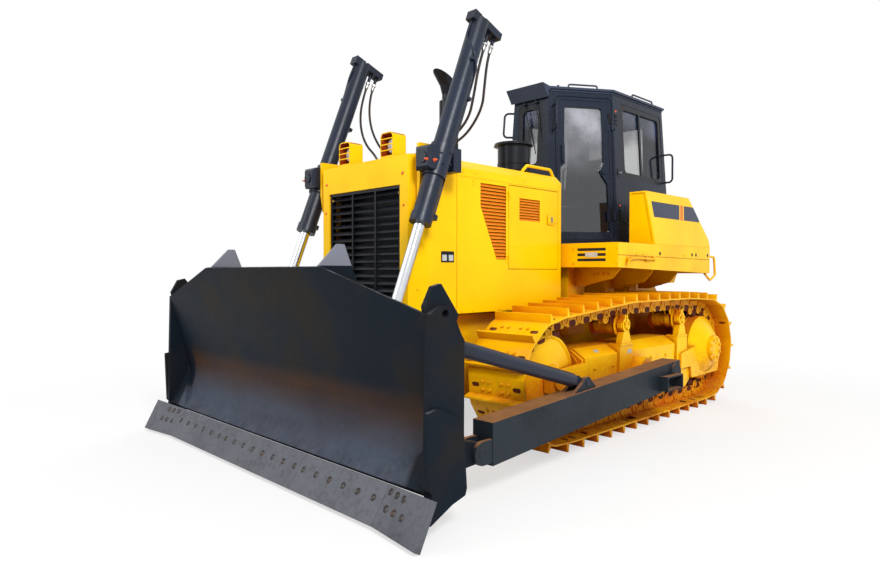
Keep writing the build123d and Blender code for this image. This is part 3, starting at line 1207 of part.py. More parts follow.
def corner_plate(side):
    """Three-cornered plate across the lower end of the hollow."""
    w = side * (BLADE_HALF_WIDTH - 1)
    corners = [(BLADE_HOLLOW_X + 2, w, BLADE_HOLLOW_Z), (BLADE_SEAM_X + 6, w, BLADE_SEAM_Z + 2),
               (BLADE_SEAM_X, side * END_BIT_Y, BLADE_SEAM_Z + 2)]
    return extrude(Face(Wire.make_polygon([Vector(*c) for c in corners])), amount=220, dir=(-1, 0, 0))


def blade():
    rear = BLADE_REAR_X
    back = BLADE_HOLLOW_X - BLADE_PLATE
    ahead = ahead_of_blade()
    w = BLADE_HALF_WIDTH
    # closed beams along the back, low and high
    frame = side_profile([(BLADE_SEAM_X, 262), (back + 90, 520), (rear + 12, 500), (rear + 12, 270),
                          (BLADE_SEAM_X - 130, 215), (BLADE_SEAM_X - 32, 215), (BLADE_SEAM_X - 26, 250)],
                          -w, w)
    frame += side_profile([(back + 130, 1040), (back + 160, BLADE_EYE_Z - 40),
                           (rear + 50, BLADE_EYE_Z - 40),
                           (rear + 25, 1040)], -w, w)
    for side in (-1, 1):
        # ears for the lift rods
        for y in (side * (LIFT_Y - 62), side * (LIFT_Y + 62)):
            x, z = LIFT_EYE_X, LIFT_EYE_Z
            frame += side_profile([(back + 90, 480), (x + 50, z - 220), (x - 26, z - 80), (x - 74, z - 20),
                                   (x - 74, z + 30), (x - 31, z + 76), (x + 59, z + 80), (x + 89, z + 180),
                                   (x + 204, 1040), (x + 204, 1100), (back + 130, 1100)], y - 12, y + 12)
        for y0, y1 in ((side * (LIFT_Y - 84), side * (LIFT_Y - 73)),
                       (side * (LIFT_Y + 73), side * (LIFT_Y + 84))):
            frame += disc(LIFT_EYE_X, LIFT_EYE_Z, min(y0, y1), max(y0, y1), 44)
        # gussets above the top edge, over the lift rods and at the ends
        frame += side_profile([(BLADE_TOP_X - 14, BLADE_TOP_Z - 4), (BLADE_TOP_X - 170, BLADE_TOP_Z + 150),
                               (BLADE_TOP_X - 220, BLADE_TOP_Z + 150),
                               (BLADE_TOP_X - 320, BLADE_TOP_Z - 90),
                               (back - 20, 1100), (back + 160, 1100)], side * LIFT_Y - 12,
                               side * LIFT_Y + 12)
        x, z = BLADE_EYE_X, BLADE_EYE_Z
        y0, y1 = sorted((side * EYE_PLATE_Y, side * (w + 1)))
        frame += side_profile([(x + 136, z + 20), (x + 62, z + 152), (x - 2, z + 166), (x - 139, z - 10),
                               (x - 90, z - 120), (x + 90, z - 120)], y0, y1)
        # upright ribs between the beams
        for y in (side * 320, side * 1180):
            frame += side_profile([(back + 90, 480), (rear + 30, 480), (rear + 45, 1060),
                                   (back + 130, 1060)], y - 9, y + 9)
        # tongue for the push arm and ears for the brace
        middle = side * BRACE_Y
        tongue = side_profile([(back, 480), (ARM_PIN_X, ARM_PIN_Z + 62), (ARM_PIN_X, ARM_PIN_Z - 62),
                               (back, 225)], middle - ARM_TONGUE / 2, middle + ARM_TONGUE / 2)
        tongue += disc(ARM_PIN_X, ARM_PIN_Z, middle - ARM_TONGUE / 2, middle + ARM_TONGUE / 2, 62)
        frame += tongue - disc(ARM_PIN_X, ARM_PIN_Z, middle - 100, middle + 100, ARM_PIN_RADIUS + PIN_GAP)
        for edge in (middle - BRACE_EYE / 2 - 1 - 28, middle + BRACE_EYE / 2 + 1):
            x, z = BRACE_HEAD_X, BRACE_HEAD_Z
            ear = side_profile([(back + 120, z - 130), (x - 10, z - 46), (x - 42, z - 20), (x - 42, z + 20),
                                (x - 10, z + 46), (back + 120, z + 110)], edge, edge + 28)
            frame += ear - disc(x, z, edge - 5, edge + 33, BRACE_PIN_RADIUS + PIN_GAP)
    body = mouldboard() + (frame - ahead)
    for side in (-1, 1):
        body += corner_plate(side) & ahead
        # end plate, and the wear plate outside its lower half
        y0, y1 = sorted((side * (w - 2), side * BLADE_SIDE_Y))
        x = BLADE_EYE_X
        foot = [(BLADE_SEAM_X + 3, 252), (BLADE_SEAM_X + 21, 270)]
        toe = [(rear - 5, 230), (rear + 8, 192), (rear + 110, 165), (rear + 275, 90),
               (BLADE_SEAM_X + 40, 96)]
        body += side_profile([(x + 115, z) for z in (BLADE_CORNER_Z,)] +
                             [(x + 35, BLADE_EYE_Z + 50), (x - 45, BLADE_EYE_Z + 36), (rear + 15, 1090),
                              (rear - 10, 1055)] + toe + foot, y0, y1)
        y0, y1 = sorted((side * (BLADE_SIDE_Y - 1), side * (BLADE_SIDE_Y + WEAR_PLATE)))
        body += side_profile([(BLADE_SEAM_X + 36, 690), (BLADE_SEAM_X - 48, 706), (rear + 25, 612)] +
                             toe + foot, y0, y1)
        y = side * (w + 50)
        body -= disc(BLADE_EYE_X, BLADE_EYE_Z, side * (EYE_PLATE_Y - 10), y, BLADE_EYE_RADIUS)
    return body


def edge_outline(foot_x, foot_z, top_x, top_z, thick):
    """Section of a bolted plate between its upper edge and its foot."""
    top = Vector(top_x, top_z)
    foot = Vector(foot_x, foot_z)
    down = (foot - top).normalized()
    back = Vector(down.Y, -down.X) * thick
    return [(p.X, p.Y) for p in (top, foot, foot + back, top + back)]


def cutting_edges():
    """Three straight plates and a flared end bit at each side, with 2 mm between them."""
    straight = edge_outline(EDGE_FOOT_X, EDGE_FOOT_Z, BLADE_SEAM_X + 6, BLADE_SEAM_Z - 12, EDGE_THICK)
    flared = edge_outline(END_BIT_FOOT_X, END_BIT_FOOT_Z, END_BIT_TOP_X, END_BIT_TOP_Z, END_BIT_THICK)
    made = [side_profile(straight, -EDGE_MIDDLE_HALF + 1, EDGE_MIDDLE_HALF - 1)]
    for side in (-1, 1):
        near, far = side * (EDGE_MIDDLE_HALF + 1), side * (END_BIT_Y - 1)
        made.append(side_profile(straight, min(near, far), max(near, far)))
        faces = []
        for y, outline in ((END_BIT_Y + 1, straight), (END_BIT_REACH, flared)):
            plane = Plane((0, side * y, 0), x_dir=(1, 0, 0), z_dir=(0, -1, 0))
            faces.append((plane * Polygon(*outline, align=None)).face())
        made.append(loft(faces, ruled=True))
    return made


def push_arm():
    """Tapered box beam from its trunnion cap to the blade's socket."""
    y1 = ARM_OUTER_Y
    y0 = ARM_OUTER_Y - ARM_WIDTH
    rear_x = TRUNNION_X - 100
    body = side_profile([(rear_x, TRUNNION_Z - ARM_REAR_HEIGHT / 2),
                         (ARM_FRONT_X, ARM_FRONT_Z - ARM_FRONT_HEIGHT / 2),
                         (ARM_FRONT_X, ARM_FRONT_Z + ARM_FRONT_HEIGHT / 2),
                         (rear_x, TRUNNION_Z + ARM_REAR_HEIGHT / 2)],
                        y0, y1)
    body -= disc(TRUNNION_X, TRUNNION_Z, y0 - 5, y0 + 75, 72)
    # cheeks and pin at the front
    for y in (y0 + 4, y1 - 34):
        cheek = side_profile([(ARM_FRONT_X - 40, ARM_PIN_Z - 75), (ARM_PIN_X, ARM_PIN_Z - 75),
                              (ARM_PIN_X, ARM_PIN_Z + 75), (ARM_FRONT_X - 40, ARM_PIN_Z + 75)], y, y + 30)
        body += cheek + disc(ARM_PIN_X, ARM_PIN_Z, y, y + 30, 75)
    body -= block(ARM_PIN_X - 75, ARM_PIN_X + 100, y0 + 33.5, y1 - 33.5, ARM_PIN_Z - 140, ARM_PIN_Z + 160)
    body += disc(ARM_PIN_X, ARM_PIN_Z, y0 + 2, y1 - 2, ARM_PIN_RADIUS)
    # ears that hold the brace's foot
    for y in (BRACE_Y - BRACE_EYE / 2 - 1 - 28, BRACE_Y + BRACE_EYE / 2 + 1):
        ear = side_profile([(BRACE_X - 175, BRACE_Z - 90), (BRACE_X + 235, BRACE_Z - 90),
                            (BRACE_X + 60, BRACE_Z + 12),
                            (BRACE_X + 28, BRACE_Z + 44), (BRACE_X - 28, BRACE_Z + 44),
                            (BRACE_X - 60, BRACE_Z + 12)],
                           y, y + 28)
        ear += disc(BRACE_X, BRACE_Z, y, y + 28, 50)
        body += ear - disc(BRACE_X, BRACE_Z, y - 5, y + 33, BRACE_PIN_RADIUS + PIN_GAP)
    # two-rung step on the outer face, and the trunnion's cap
    for x in (TRUNNION_X + 20, TRUNNION_X + 300):
        body += block(x, x + 12, y1 - 1, y1 + 88, 404, 532)
    for z in (404, 520):
        body += block(TRUNNION_X + 20, TRUNNION_X + 312, y1 + 30, y1 + 88, z, z + 12)
    body += disc(TRUNNION_X, TRUNNION_Z, y1 - 1, y1 + 16, 92)
    return body


def brace():
    """Tubular stay from the arm to the blade's upper back, with an eye and a pin at each end."""
    half = BRACE_EYE / 2
    start = Vector(BRACE_X, BRACE_Y, BRACE_Z)
    end = Vector(BRACE_HEAD_X, BRACE_Y, BRACE_HEAD_Z)
    run = (end - start).normalized()
    tube_start = start + run * 135
    tube_end = end - run * 150
    body = bar(tuple(tube_start), tuple(tube_end), BRACE_RADIUS)
    for at, far in ((start, tube_start + run * 5), (end, tube_end - run * 5)):
        body += disc(at.X, at.Z, BRACE_Y - half, BRACE_Y + half, BRACE_EYE_RADIUS)
        neck = Plane(origin=at, x_dir=(0, 1, 0), z_dir=far - at)
        body += extrude(neck * Rectangle(BRACE_EYE, 2 * BRACE_EYE_RADIUS - 14), amount=(far - at).length)
        body += disc(at.X, at.Z, BRACE_Y - half - 34, BRACE_Y + half + 34, BRACE_PIN_RADIUS)
    return body


# ---------------------------------------------------------------- lift cylinders
def on_lift_line(distance):
    """A point on the cylinder's line: distance down from the pivot."""
    share = distance / LIFT_LENGTH
    return (LIFT_PIVOT_X + (LIFT_EYE_X - LIFT_PIVOT_X) * share, LIFT_Y,
            LIFT_PIVOT_Z - (LIFT_PIVOT_Z - LIFT_EYE_Z) * share)


def barrel_point(forward, y, along):
    """A point in the barrel's own directions: ahead of its line, sideways, down from its closed end."""
    x, _, z = on_lift_line(along - BARREL_ABOVE)
    ahead = (LIFT_PIVOT_Z - LIFT_EYE_Z) / LIFT_LENGTH
    up = (LIFT_EYE_X - LIFT_PIVOT_X) / LIFT_LENGTH
    return (x + forward * ahead, LIFT_Y + y, z + forward * up)


def barrel_box(forward0, forward1, y0, y1, along0, along1):
    """A box in the barrel's own directions."""
    start = Vector(*barrel_point((forward0 + forward1) / 2, (y0 + y1) / 2, along0))
    end = Vector(*barrel_point((forward0 + forward1) / 2, (y0 + y1) / 2, along1))
    plane = Plane(origin=start, x_dir=(0, 1, 0), z_dir=end - start)
    return extrude(plane * Rectangle(y1 - y0, forward1 - forward0), amount=along1 - along0)




def lift_barrel():
    total = BARREL_ABOVE + BARREL_BELOW
    body = bar(on_lift_line(BARREL_BELOW), on_lift_line(-BARREL_ABOVE), BARREL_RADIUS)
    body += bar(on_lift_line(150), on_lift_line(-110), BARREL_RADIUS + 14)
    body += bar(on_lift_line(BARREL_BELOW + 10), on_lift_line(BARREL_BELOW - 60), BARREL_RADIUS + 8)
    # yoke castings ahead of and behind the barrel, joined by a pad against the guard
    y0, y1 = HOOD_HALF_WIDTH + 20, LIFT_Y + 72
    body += block(LIFT_PIVOT_X - 150, LIFT_PIVOT_X + 140, y0, LIFT_Y - 40, LIFT_PIVOT_Z - 70,
                  LIFT_PIVOT_Z + 70)
    for x0, x1, nose in ((60, 165, 1), (-190, -85, -1)):
        casting = block(LIFT_PIVOT_X + x0, LIFT_PIVOT_X + x1, y0, y1, LIFT_PIVOT_Z - 88, LIFT_PIVOT_Z + 88)
        face = casting.faces().sort_by(Axis.X)[-1 if nose > 0 else 0]
        casting = chamfer(face.edges(), 22)
        body += casting
        tip = LIFT_PIVOT_X + (x1 if nose > 0 else x0)
        body += bar((tip - nose * 5, LIFT_Y, LIFT_PIVOT_Z), (tip + nose * 9, LIFT_Y, LIFT_PIVOT_Z), 42)
    # head: a block ahead, the port block behind, and a cap between them
    body += barrel_box(30, 105, -45, 45, -30, 45) + barrel_box(-226, -20, -50, 50, -30, 30)
    body += bar(barrel_point(0, 0, -42), barrel_point(0, 0, 0), 28)
    # pressure pipe down to the gland, with a clamp half way
    body += bent_bar([barrel_point(80, 0, 40), barrel_point(88, 0, 190), barrel_point(30, 84, 330),
                      barrel_point(-30, 84, 430), barrel_point(-88, 20, 560),
                      barrel_point(-88, 20, total - 75)],
                     PIPE_RADIUS, 90)
    body += barrel_box(-112, -60, -2, 42, total - 100, total - 60)
    body += barrel_box(-106, -60, -28, 44, 640, 668) + barrel_box(20, 46, 60, 96, 372, 396)
    # hose ends under the port block
    for forward, length in zip(HOSE_PORTS, PORT_LENGTH):
        body += bar(barrel_point(forward, 0, 29), barrel_point(forward, 0, 30 + length), 15)
        body += bar(barrel_point(forward, 0, 29), barrel_point(forward, 0, 48), 21)
    bore = bar(on_lift_line(BARREL_BELOW + 20), on_lift_line(-BARREL_ABOVE + 25), ROD_RADIUS + BORE_GAP)
    socket = disc(LIFT_PIVOT_X, LIFT_PIVOT_Z, HOOD_HALF_WIDTH, HOOD_HALF_WIDTH + 48, TRUNNION_PIN + 0.3)
    return body - bore - socket


def lift_rod():
    body = bar(on_lift_line(LIFT_LENGTH - 30), on_lift_line(LIFT_LENGTH - ROD_LENGTH), ROD_RADIUS)
    eye = disc(LIFT_EYE_X, LIFT_EYE_Z, LIFT_Y - 38, LIFT_Y + 38, EYE_RADIUS)
    pin = disc(LIFT_EYE_X, LIFT_EYE_Z, LIFT_Y - 49, LIFT_Y + 49, 32)
    return body + eye + pin


# ---------------------------------------------------------------- cylinder hoses
def hose_points(k):
    exit_at = 30 + PORT_LENGTH[k]
    start = [Vector(*barrel_point(HOSE_PORTS[k], 0, exit_at + run)) for run in (0, HOSE_FIRST_RUN[k])]
    return start + [Vector(*p) for p in HOSE_RUNS[k]]


def bend_radii(points):
    """Radius at each corner: 0.45 of the shorter run over the tangent of half the turn."""
    radii = []
    for before, at, after in zip(points, points[1:], points[2:]):
        one, two = at - before, after - at
        turn = math.radians(one.get_angle(two))
        radii.append(0.45 * min(one.length, two.length) / math.tan(turn / 2))
    return radii


def hose(k):
    points = hose_points(k)
    radii = bend_radii(points)
    path = FilletPolyline(*[tuple(p) for p in points], radius=radii)
    print("hose", k, "length", round(path.length), "radii", [round(r) for r in radii])
    return sweep(Plane(origin=path @ 0, z_dir=path % 0) * Circle(HOSE_RADIUS), path=path)


def hose_fitting(k):
    """Ferrule and the block on the guard's top that a hose ends in."""
    points = hose_points(k)
    end = points[-1]
    run = (end - points[-2]).normalized()
    far = end + run * 52
    body = bar(tuple(end), tuple(far), 15)
    return body + block(far.X - 26, far.X + 26, far.Y - 26, far.Y + 26, GUARD_TOP_Z + 0.5, far.Z + 20)


# ---------------------------------------------------------------- all nodes
def main():
    os.makedirs("parts", exist_ok=True)
    pins = track_pins()
    left_track = track(pins)
    left_frame = track_frame()
    left_barrel = lift_barrel()
    left_rod = lift_rod()
    pairs = {"track": left_track, "track_frame": left_frame, "lift_barrel": left_barrel,
             "lift_rod": left_rod,
             "engine_door": engine_door(), "lift_hoses": solids(hose(0), hose(1))}
    for name, part in pairs.items():
        save(name + "_left", part)
        save(name + "_right", opposite(part))
    for name, side in (("left", 1), ("right", -1)):
        save("cab_door_" + name, cab_door(side))
        save("door_glass_" + name, door_glass(side))
    shared = {"sprockets": both(sprocket()), "final_drives": both(final_drive()), "idlers": both(idler()),
              "hood_sides": both(hood_side()), "push_arms": both(push_arm()), "blade_braces": both(brace()),
              "fender_boxes": both(fender_box())}
    rollers = []
    for roller in track_rollers():
        rollers += both(roller)
    shared["track_rollers"] = rollers
    carriers = []
    for x in CARRIER_X:
        carriers += both(carrier_roller(x))
    shared["carrier_rollers"] = carriers
    shared["front_lamps"], shared["lamp_lenses"] = front_lamps()
    shared["hose_fittings"] = both(hose_fitting(0)) + both(hose_fitting(1))
    shared["window_frames"] = window_frames()
    shared["cab_windows"] = cab_windows()
    shared["console"] = console()
    shared["cutting_edges"] = cutting_edges()
    for name, parts in shared.items():
        save(name, solids(*parts))
    singles = {"hull": hull(), "rear_case": rear_case(), "drawbar": drawbar(),
               "equalizer_bar": equalizer_bar(),
               "engine_block": engine_block(), "radiator_guard": radiator_guard(), "grille": grille(),
               "radiator_core": radiator_core(), "hood_top": hood_top(), "pre_cleaner": pre_cleaner(),
               "exhaust_stack": exhaust_stack(), "cab_shell": cab_shell(), "cab_roof": cab_roof(),
               "seat": seat(),
               "platform": platform(), "fuel_tank": fuel_tank(), "blade": blade()}
    for name, part in singles.items():
        save(name, part)


main()
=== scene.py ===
import bpy
import bmesh
import json
import math
import random
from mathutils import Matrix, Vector
from mathutils.bvhtree import BVHTree


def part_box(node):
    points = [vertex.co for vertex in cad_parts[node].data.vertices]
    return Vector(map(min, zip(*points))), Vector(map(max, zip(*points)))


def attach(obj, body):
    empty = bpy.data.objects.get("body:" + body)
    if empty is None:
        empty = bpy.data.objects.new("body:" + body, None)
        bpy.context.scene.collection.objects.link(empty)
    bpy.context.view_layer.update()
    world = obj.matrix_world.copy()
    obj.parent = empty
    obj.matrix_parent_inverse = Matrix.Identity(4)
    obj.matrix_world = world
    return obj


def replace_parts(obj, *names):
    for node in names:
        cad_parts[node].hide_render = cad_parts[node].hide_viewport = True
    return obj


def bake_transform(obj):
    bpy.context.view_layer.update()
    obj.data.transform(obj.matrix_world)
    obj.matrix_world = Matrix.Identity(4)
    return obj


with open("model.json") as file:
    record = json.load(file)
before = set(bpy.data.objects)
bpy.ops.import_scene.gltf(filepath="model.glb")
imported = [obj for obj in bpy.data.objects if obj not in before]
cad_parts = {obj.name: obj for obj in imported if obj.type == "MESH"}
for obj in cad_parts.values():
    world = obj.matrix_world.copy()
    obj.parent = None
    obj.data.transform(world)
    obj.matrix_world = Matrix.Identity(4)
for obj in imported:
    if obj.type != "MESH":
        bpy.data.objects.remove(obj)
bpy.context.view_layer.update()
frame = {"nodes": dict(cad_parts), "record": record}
nodes = frame["nodes"]
scene = bpy.context.scene
random.seed(7)

SIDES = ((1, "left"), (-1, "right"))
AHEAD, BACK = Vector((1, 0, 0)), Vector((-1, 0, 0))
UP, DOWN = Vector((0, 0, 1)), Vector((0, 0, -1))
LEFT, RIGHT = Vector((0, 1, 0)), Vector((0, -1, 0))
BESIDE = 2.0                  # further out than the machine's sides
BEHIND = -4.0                 # further back than its rear

# ---- camera
CAMERA_AT = (4.868, 4.18, 1.4385)
CAMERA_YAW = math.radians(225.52)
CAMERA_PITCH = math.radians(1.138)
SENSOR = 36.0
LENS = 641.4 / 880 * SENSOR

level = math.cos(CAMERA_PITCH)
ahead = Vector((math.cos(CAMERA_YAW) * level, math.sin(CAMERA_YAW) * level, -math.sin(CAMERA_PITCH)))
cam_data = bpy.data.cameras.new("camera")
cam = bpy.data.objects.new("camera", cam_data)
scene.collection.objects.link(cam)
cam.location = CAMERA_AT
cam.rotation_mode = "QUATERNION"
cam.rotation_quaternion = ahead.to_track_quat("-Z", "Y")
cam_data.sensor_width = SENSOR
cam_data.lens = LENS
cam_data.clip_start, cam_data.clip_end = 0.05, 200
scene.camera = cam


# ---- finishes
def tone(rgb):
    """A colour from its 0 to 255 display values."""
    return tuple(c / 3294.6 if c <= 10 else ((c / 255 + 0.055) / 1.055) ** 2.4 for c in rgb) + (1.0,)


class Tree:
    """A tree of shader nodes. Each call adds one or more nodes and gives back the last one's output."""

    def __init__(self, tree):
        self.tree = tree

    def add(self, kind, inputs, output=0, **settings):
        node = self.tree.nodes.new("ShaderNode" + kind)
        for key, value in settings.items():
            setattr(node, key, value)
        for key, value in inputs.items():
            self.plug(node.inputs[key], value)
        return node.outputs[output]

    def plug(self, socket, value):
        if isinstance(value, bpy.types.NodeSocket):
            self.tree.links.new(value, socket)
        else:
            socket.default_value = value

    def math(self, kind, a, b=0.0, **settings):
        return self.add("Math", {0: a, 1: b}, operation=kind, **settings)

    def times(self, a, b):
        return self.math("MULTIPLY", a, b)

    def plus(self, a, b):
        return self.math("ADD", a, b)


class Finish(Tree):
    """A procedural material in the object's own coordinates, which are the machine's."""

    def __init__(self, name, rough=0.4, metal=0.0, coat=0.0, coat_rough=0.1, sheen=0.0, shine=0.5):
        self.mat = bpy.data.materials.new(name)
        self.mat.use_nodes = True
        super().__init__(self.mat.node_tree)
        self.shader = self.tree.nodes["Principled BSDF"]
        self.set(
            Roughness=rough, Metallic=metal, Coat_Weight=coat, Coat_Roughness=coat_rough,
            Sheen_Weight=sheen, Specular_IOR_Level=shine)
        self.place = self.add("TexCoord", {}, "Object")

    def set(self, **sockets):
        for key, value in sockets.items():
            self.plug(self.shader.inputs[key.replace("_", " ")], value)
        return self.mat

    def span(self, value, low, high, a=0.0, b=1.0):
        """value from low..high to a..b, held at the ends, with soft shoulders."""
        return self.add("MapRange", {0: value, 1: low, 2: high, 3: a, 4: b}, interpolation_type="SMOOTHSTEP")

    def between(self, value, low, high, soft):
        """1 where a value lies between two others, 0 outside, over an edge of twice soft."""
        over = self.span(value, low - soft, low + soft)
        return self.times(over, self.span(value, high + soft, high - soft))

    def in_box(self, *spans):
        """A mask that is 1 inside a box given as (axis, low, high) rows."""
        share = None
        for axis, low, high in spans:
            one = self.between(self.at(axis), low, high, 0.002)
            share = one if share is None else self.times(share, one)
        return share

    def radial(self, x, z, low, high):
        """A mask that is 1 between two distances from a line along Y."""
        dx = self.math("SUBTRACT", self.at(0), x)
        dz = self.math("SUBTRACT", self.at(2), z)
        away = self.math("SQRT", self.plus(self.times(dx, dx), self.times(dz, dz)))
        return self.between(away, low, high, 0.006)

    def beside(self, low, high):
        """A mask that is 1 where the distance from the machine's middle is between two values."""
        return self.between(self.math("ABSOLUTE", self.at(1)), low, high, 0.001)

    def stretch(self, scale):
        return self.add("Mapping", {"Vector": self.place, "Scale": scale})

    def noise(self, scale, detail, place=None):
        return self.add(
            "TexNoise", {"Vector": place or self.place, "Scale": scale, "Detail": detail, "Roughness": 0.55})

    def mix(self, share, a, b):
        return self.add("Mix", {0: share, 6: a, 7: b}, 2, data_type="RGBA")

    def part(self, vector, axis):
        return self.add("SeparateXYZ", {0: vector}, axis)

    def at(self, axis):
        return self.part(self.place, axis)

    def facing(self, axis):
        return self.part(self.add("NewGeometry", {}, "Normal"), axis)

    def painted_shade(self, reach, open_from=0.85, full_at=0.3):
        """Painted shade: 1 in corners and behind things, where shade falls, 0 in the open."""
        seen = self.add("AmbientOcclusion", {"Distance": reach}, "AO", samples=4)
        return self.span(seen, open_from, full_at)

    def rounded(self, radius):
        return self.add("Bevel", {"Radius": radius}, samples=3)

    def edges(self, rounded):
        """1 along edges, 0 on open faces."""
        turned = self.add(
            "VectorMath", {0: rounded, 1: self.add("NewGeometry", {}, "Normal")}, "Value",
            operation="DOT_PRODUCT")
        return self.span(turned, 0.955, 0.78)

    def bump(self, height, depth, strength, normal):
        return self.add("Bump", {"Height": height, "Distance": depth, "Strength": strength, "Normal": normal})


def coated(name, base, deep, worn, rough, coat=0.0, shade_and_dirt=(150, 118, 84), shade_and_dirt_share=0.35,
           dust=(214, 196, 160), dust_share=0.12, wear=0.35, grain=0.0012, shine=0.3, even=0.0, reach=0.15,
           open_from=0.85, full_at=0.3, radius=0.004, gleam=(1, 1, 1, 1), masks=lambda f: ()):
    """Paint on steel: a slow shift of hue, painted shade in corners and behind things and grime low down in
    one colour, dust on top, worn edges and a fine peel. even is the least share of dust. masks gives rows of
    share and colour that lie under the painted shade and grime."""
    f = Finish(name, coat=coat, coat_rough=0.14, shine=shine)
    smooth = f.rounded(radius)
    broad, fine = f.noise(1.7, 3), f.noise(31, 6)
    colour = f.mix(f.span(broad, 0.38, 0.68), tone(base), tone(deep))
    for share, tint in masks(f):
        colour = f.mix(share, colour, tone(tint))
    low = f.span(f.at(2), 0.75, 0.0)
    patch = f.span(f.plus(f.times(fine, 0.6), f.times(f.noise(7, 5), 0.5)), 0.5, 0.72)
    # painted shade from ambient occlusion in corners and behind things, plus grime low down
    shade_and_soil = f.times(f.plus(f.painted_shade(reach, open_from, full_at), f.times(low, patch)), shade_and_dirt_share)
    colour = f.mix(f.math("MINIMUM", shade_and_soil, 0.85), colour, tone(shade_and_dirt))
    top = f.times(f.span(f.facing(2), 0.5, 0.98), f.span(f.noise(9, 5), 0.36, 0.66, even, 1.0))
    colour = f.mix(f.times(top, dust_share), colour, tone(dust))
    chip = f.times(f.edges(smooth), f.span(f.noise(55, 6), 0.5, 0.62))
    colour = f.mix(f.times(chip, wear), colour, tone(worn))
    gloss = f.plus(f.span(fine, 0.3, 0.7, rough - 0.03, rough + 0.04), f.times(shade_and_soil, 0.35))
    peel = f.bump(f.noise(420, 2), grain * 0.25, 0.25, f.bump(fine, grain, 0.14, smooth))
    return f.set(Base_Color=colour, Roughness=gloss, Normal=peel, Specular_Tint=gleam)


def metal(name, base, other, rough, depth=0.0006, stretch=(1, 1, 1), spot=(90, 60, 40), spots=0.15):
    """Bare or plated metal with drawn streaks and a few stains."""
    f = Finish(name, metal=1.0)
    streak = f.noise(90, 5, f.stretch(stretch))
    colour = f.mix(f.span(streak, 0.35, 0.7), tone(base), tone(other))
    colour = f.mix(f.times(f.span(f.noise(14, 6), 0.58, 0.72), spots), colour, tone(spot))
    gloss = f.span(streak, 0.3, 0.75, rough * 0.75, rough * 1.35)
    return f.set(Base_Color=colour, Roughness=gloss, Normal=f.bump(streak, depth, 0.3, f.rounded(0.002)))


def soft(name, base, other, rough, scale, depth):
    """Rubber, moulded plastic or vinyl with a pebbled grain and painted shade in its creases."""
    f = Finish(name, rough=rough, sheen=0.05, shine=0.3)
    grain = f.add("TexVoronoi", {"Vector": f.place, "Scale": scale})
    colour = f.mix(f.span(f.noise(6, 5), 0.35, 0.7), tone(base), tone(other))
    # painted shade: darker where ambient occlusion finds creases
    colour = f.mix(f.times(f.painted_shade(0.05), 0.4), colour, tone((12, 12, 12)))
    gloss = f.span(f.noise(26, 4), 0.3, 0.7, rough - 0.06, rough + 0.08)
    return f.set(Base_Color=colour, Roughness=gloss, Normal=f.bump(grain, depth, 0.2, f.rounded(0.003)))


def glass(name, tint, film_and_reflection_tint, low, high, thick, seen):
    """Tinted glass that lets some light through, with a tinted layer that grows between two heights, which on
    the door glass is a painted reflection of the sky.
    """
    f = Finish(name, coat=1.0, coat_rough=0.02, shine=0.9)
    patch = f.span(f.noise(2.6, 6), 0.3, 0.72, 0.35, 1.0)
    film_and_reflection = f.times(f.times(f.span(f.at(2), low, high), patch), thick)
    colour = f.mix(film_and_reflection, tone(tint), tone(film_and_reflection_tint))
    return f.set(
        Base_Color=colour, Coat_IOR=1.6, Roughness=f.span(film_and_reflection, 0.0, 0.6, 0.03, 0.15),
        Alpha=f.span(film_and_reflection, 0.0, 0.8, seen, min(1.0, seen + 0.3)))


# ---- paints
YELLOW, DEEP_YELLOW, FRAME_YELLOW, DEEP_FRAME = (254, 202, 0), (252, 191, 0), (255, 204, 0), (250, 184, 0)
# The first orange is painted shade for the yellow paints' corners and hollows, and also their grime low down;
# the slat orange is painted shade on recessed louvre slats; the near-black marks bands round the carrier
# rollers.
SHADE_AND_DIRT_ORANGE, SLAT_SHADE, RUST, NAVY, ROLLER_BAND = (176, 58, 10), (222, 112, 10), (112, 56, 26), (34, 46, 74), (30, 22, 22)
WARM = (1.0, 0.72, 0.12, 1)   # keeps the paint's gloss as warm as the paint

sprocket_low, sprocket_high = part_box("sprockets")
drive_x, drive_z = (sprocket_low.x + sprocket_high.x) / 2, (sprocket_low.z + sprocket_high.z) / 2


# Yellow paint with orange painted shade in its corners and hollows, and grime low down in the same orange.
def yellow(name, base, deep, shade_and_dirt_share, dust_share=0.05, **more):
    return coated(
        name, base, deep, (255, 214, 90), 0.38, 0.12, SHADE_AND_DIRT_ORANGE, shade_and_dirt_share, (226, 176, 70), dust_share,
        radius=0.005, gleam=WARM, **more)


def both(low, high):
    """A stretch of Y and its mirror image."""
    return (low, high), (-high, -low)


def louvre(f, x_low, x_high, z_low, z_high):
    """A mask for painted shade on the recessed slats of a louvre, behind the panel's face."""
    return f.times(f.in_box((0, x_low, x_high), (2, z_low, z_high)), f.beside(0.6, 0.6385))


def slash(f, wide):
    """The slanted band on the fender boxes."""
    foot, lean, low, high = -1.655, -0.4, 1.969, 2.134
    x, z = f.at(0), f.at(2)
    off = f.math("SUBTRACT", x, f.plus(foot, f.times(f.math("SUBTRACT", z, low), lean)))
    return f.times(f.between(off, -wide / 2, wide / 2, 0.003), f.between(f.at(2), low, high, 0.002))


def painted_reflection_band(f, none, full, most):
    """A painted reflection on the blade's front between its ends, that grows from one height to another, up
    to a share.
    """
    grown = f.span(f.at(2), none, full, 0.0, most)
    grown = f.times(grown, f.span(f.noise(4, 4, f.stretch((1, 0.25, 1))), 0.25, 0.6, 0.6, 1.0))
    grown = f.times(grown, f.span(f.math("ABSOLUTE", f.at(1)), 1.56, 1.5))
    return f.times(grown, f.span(f.at(0), 2.33, 2.36))


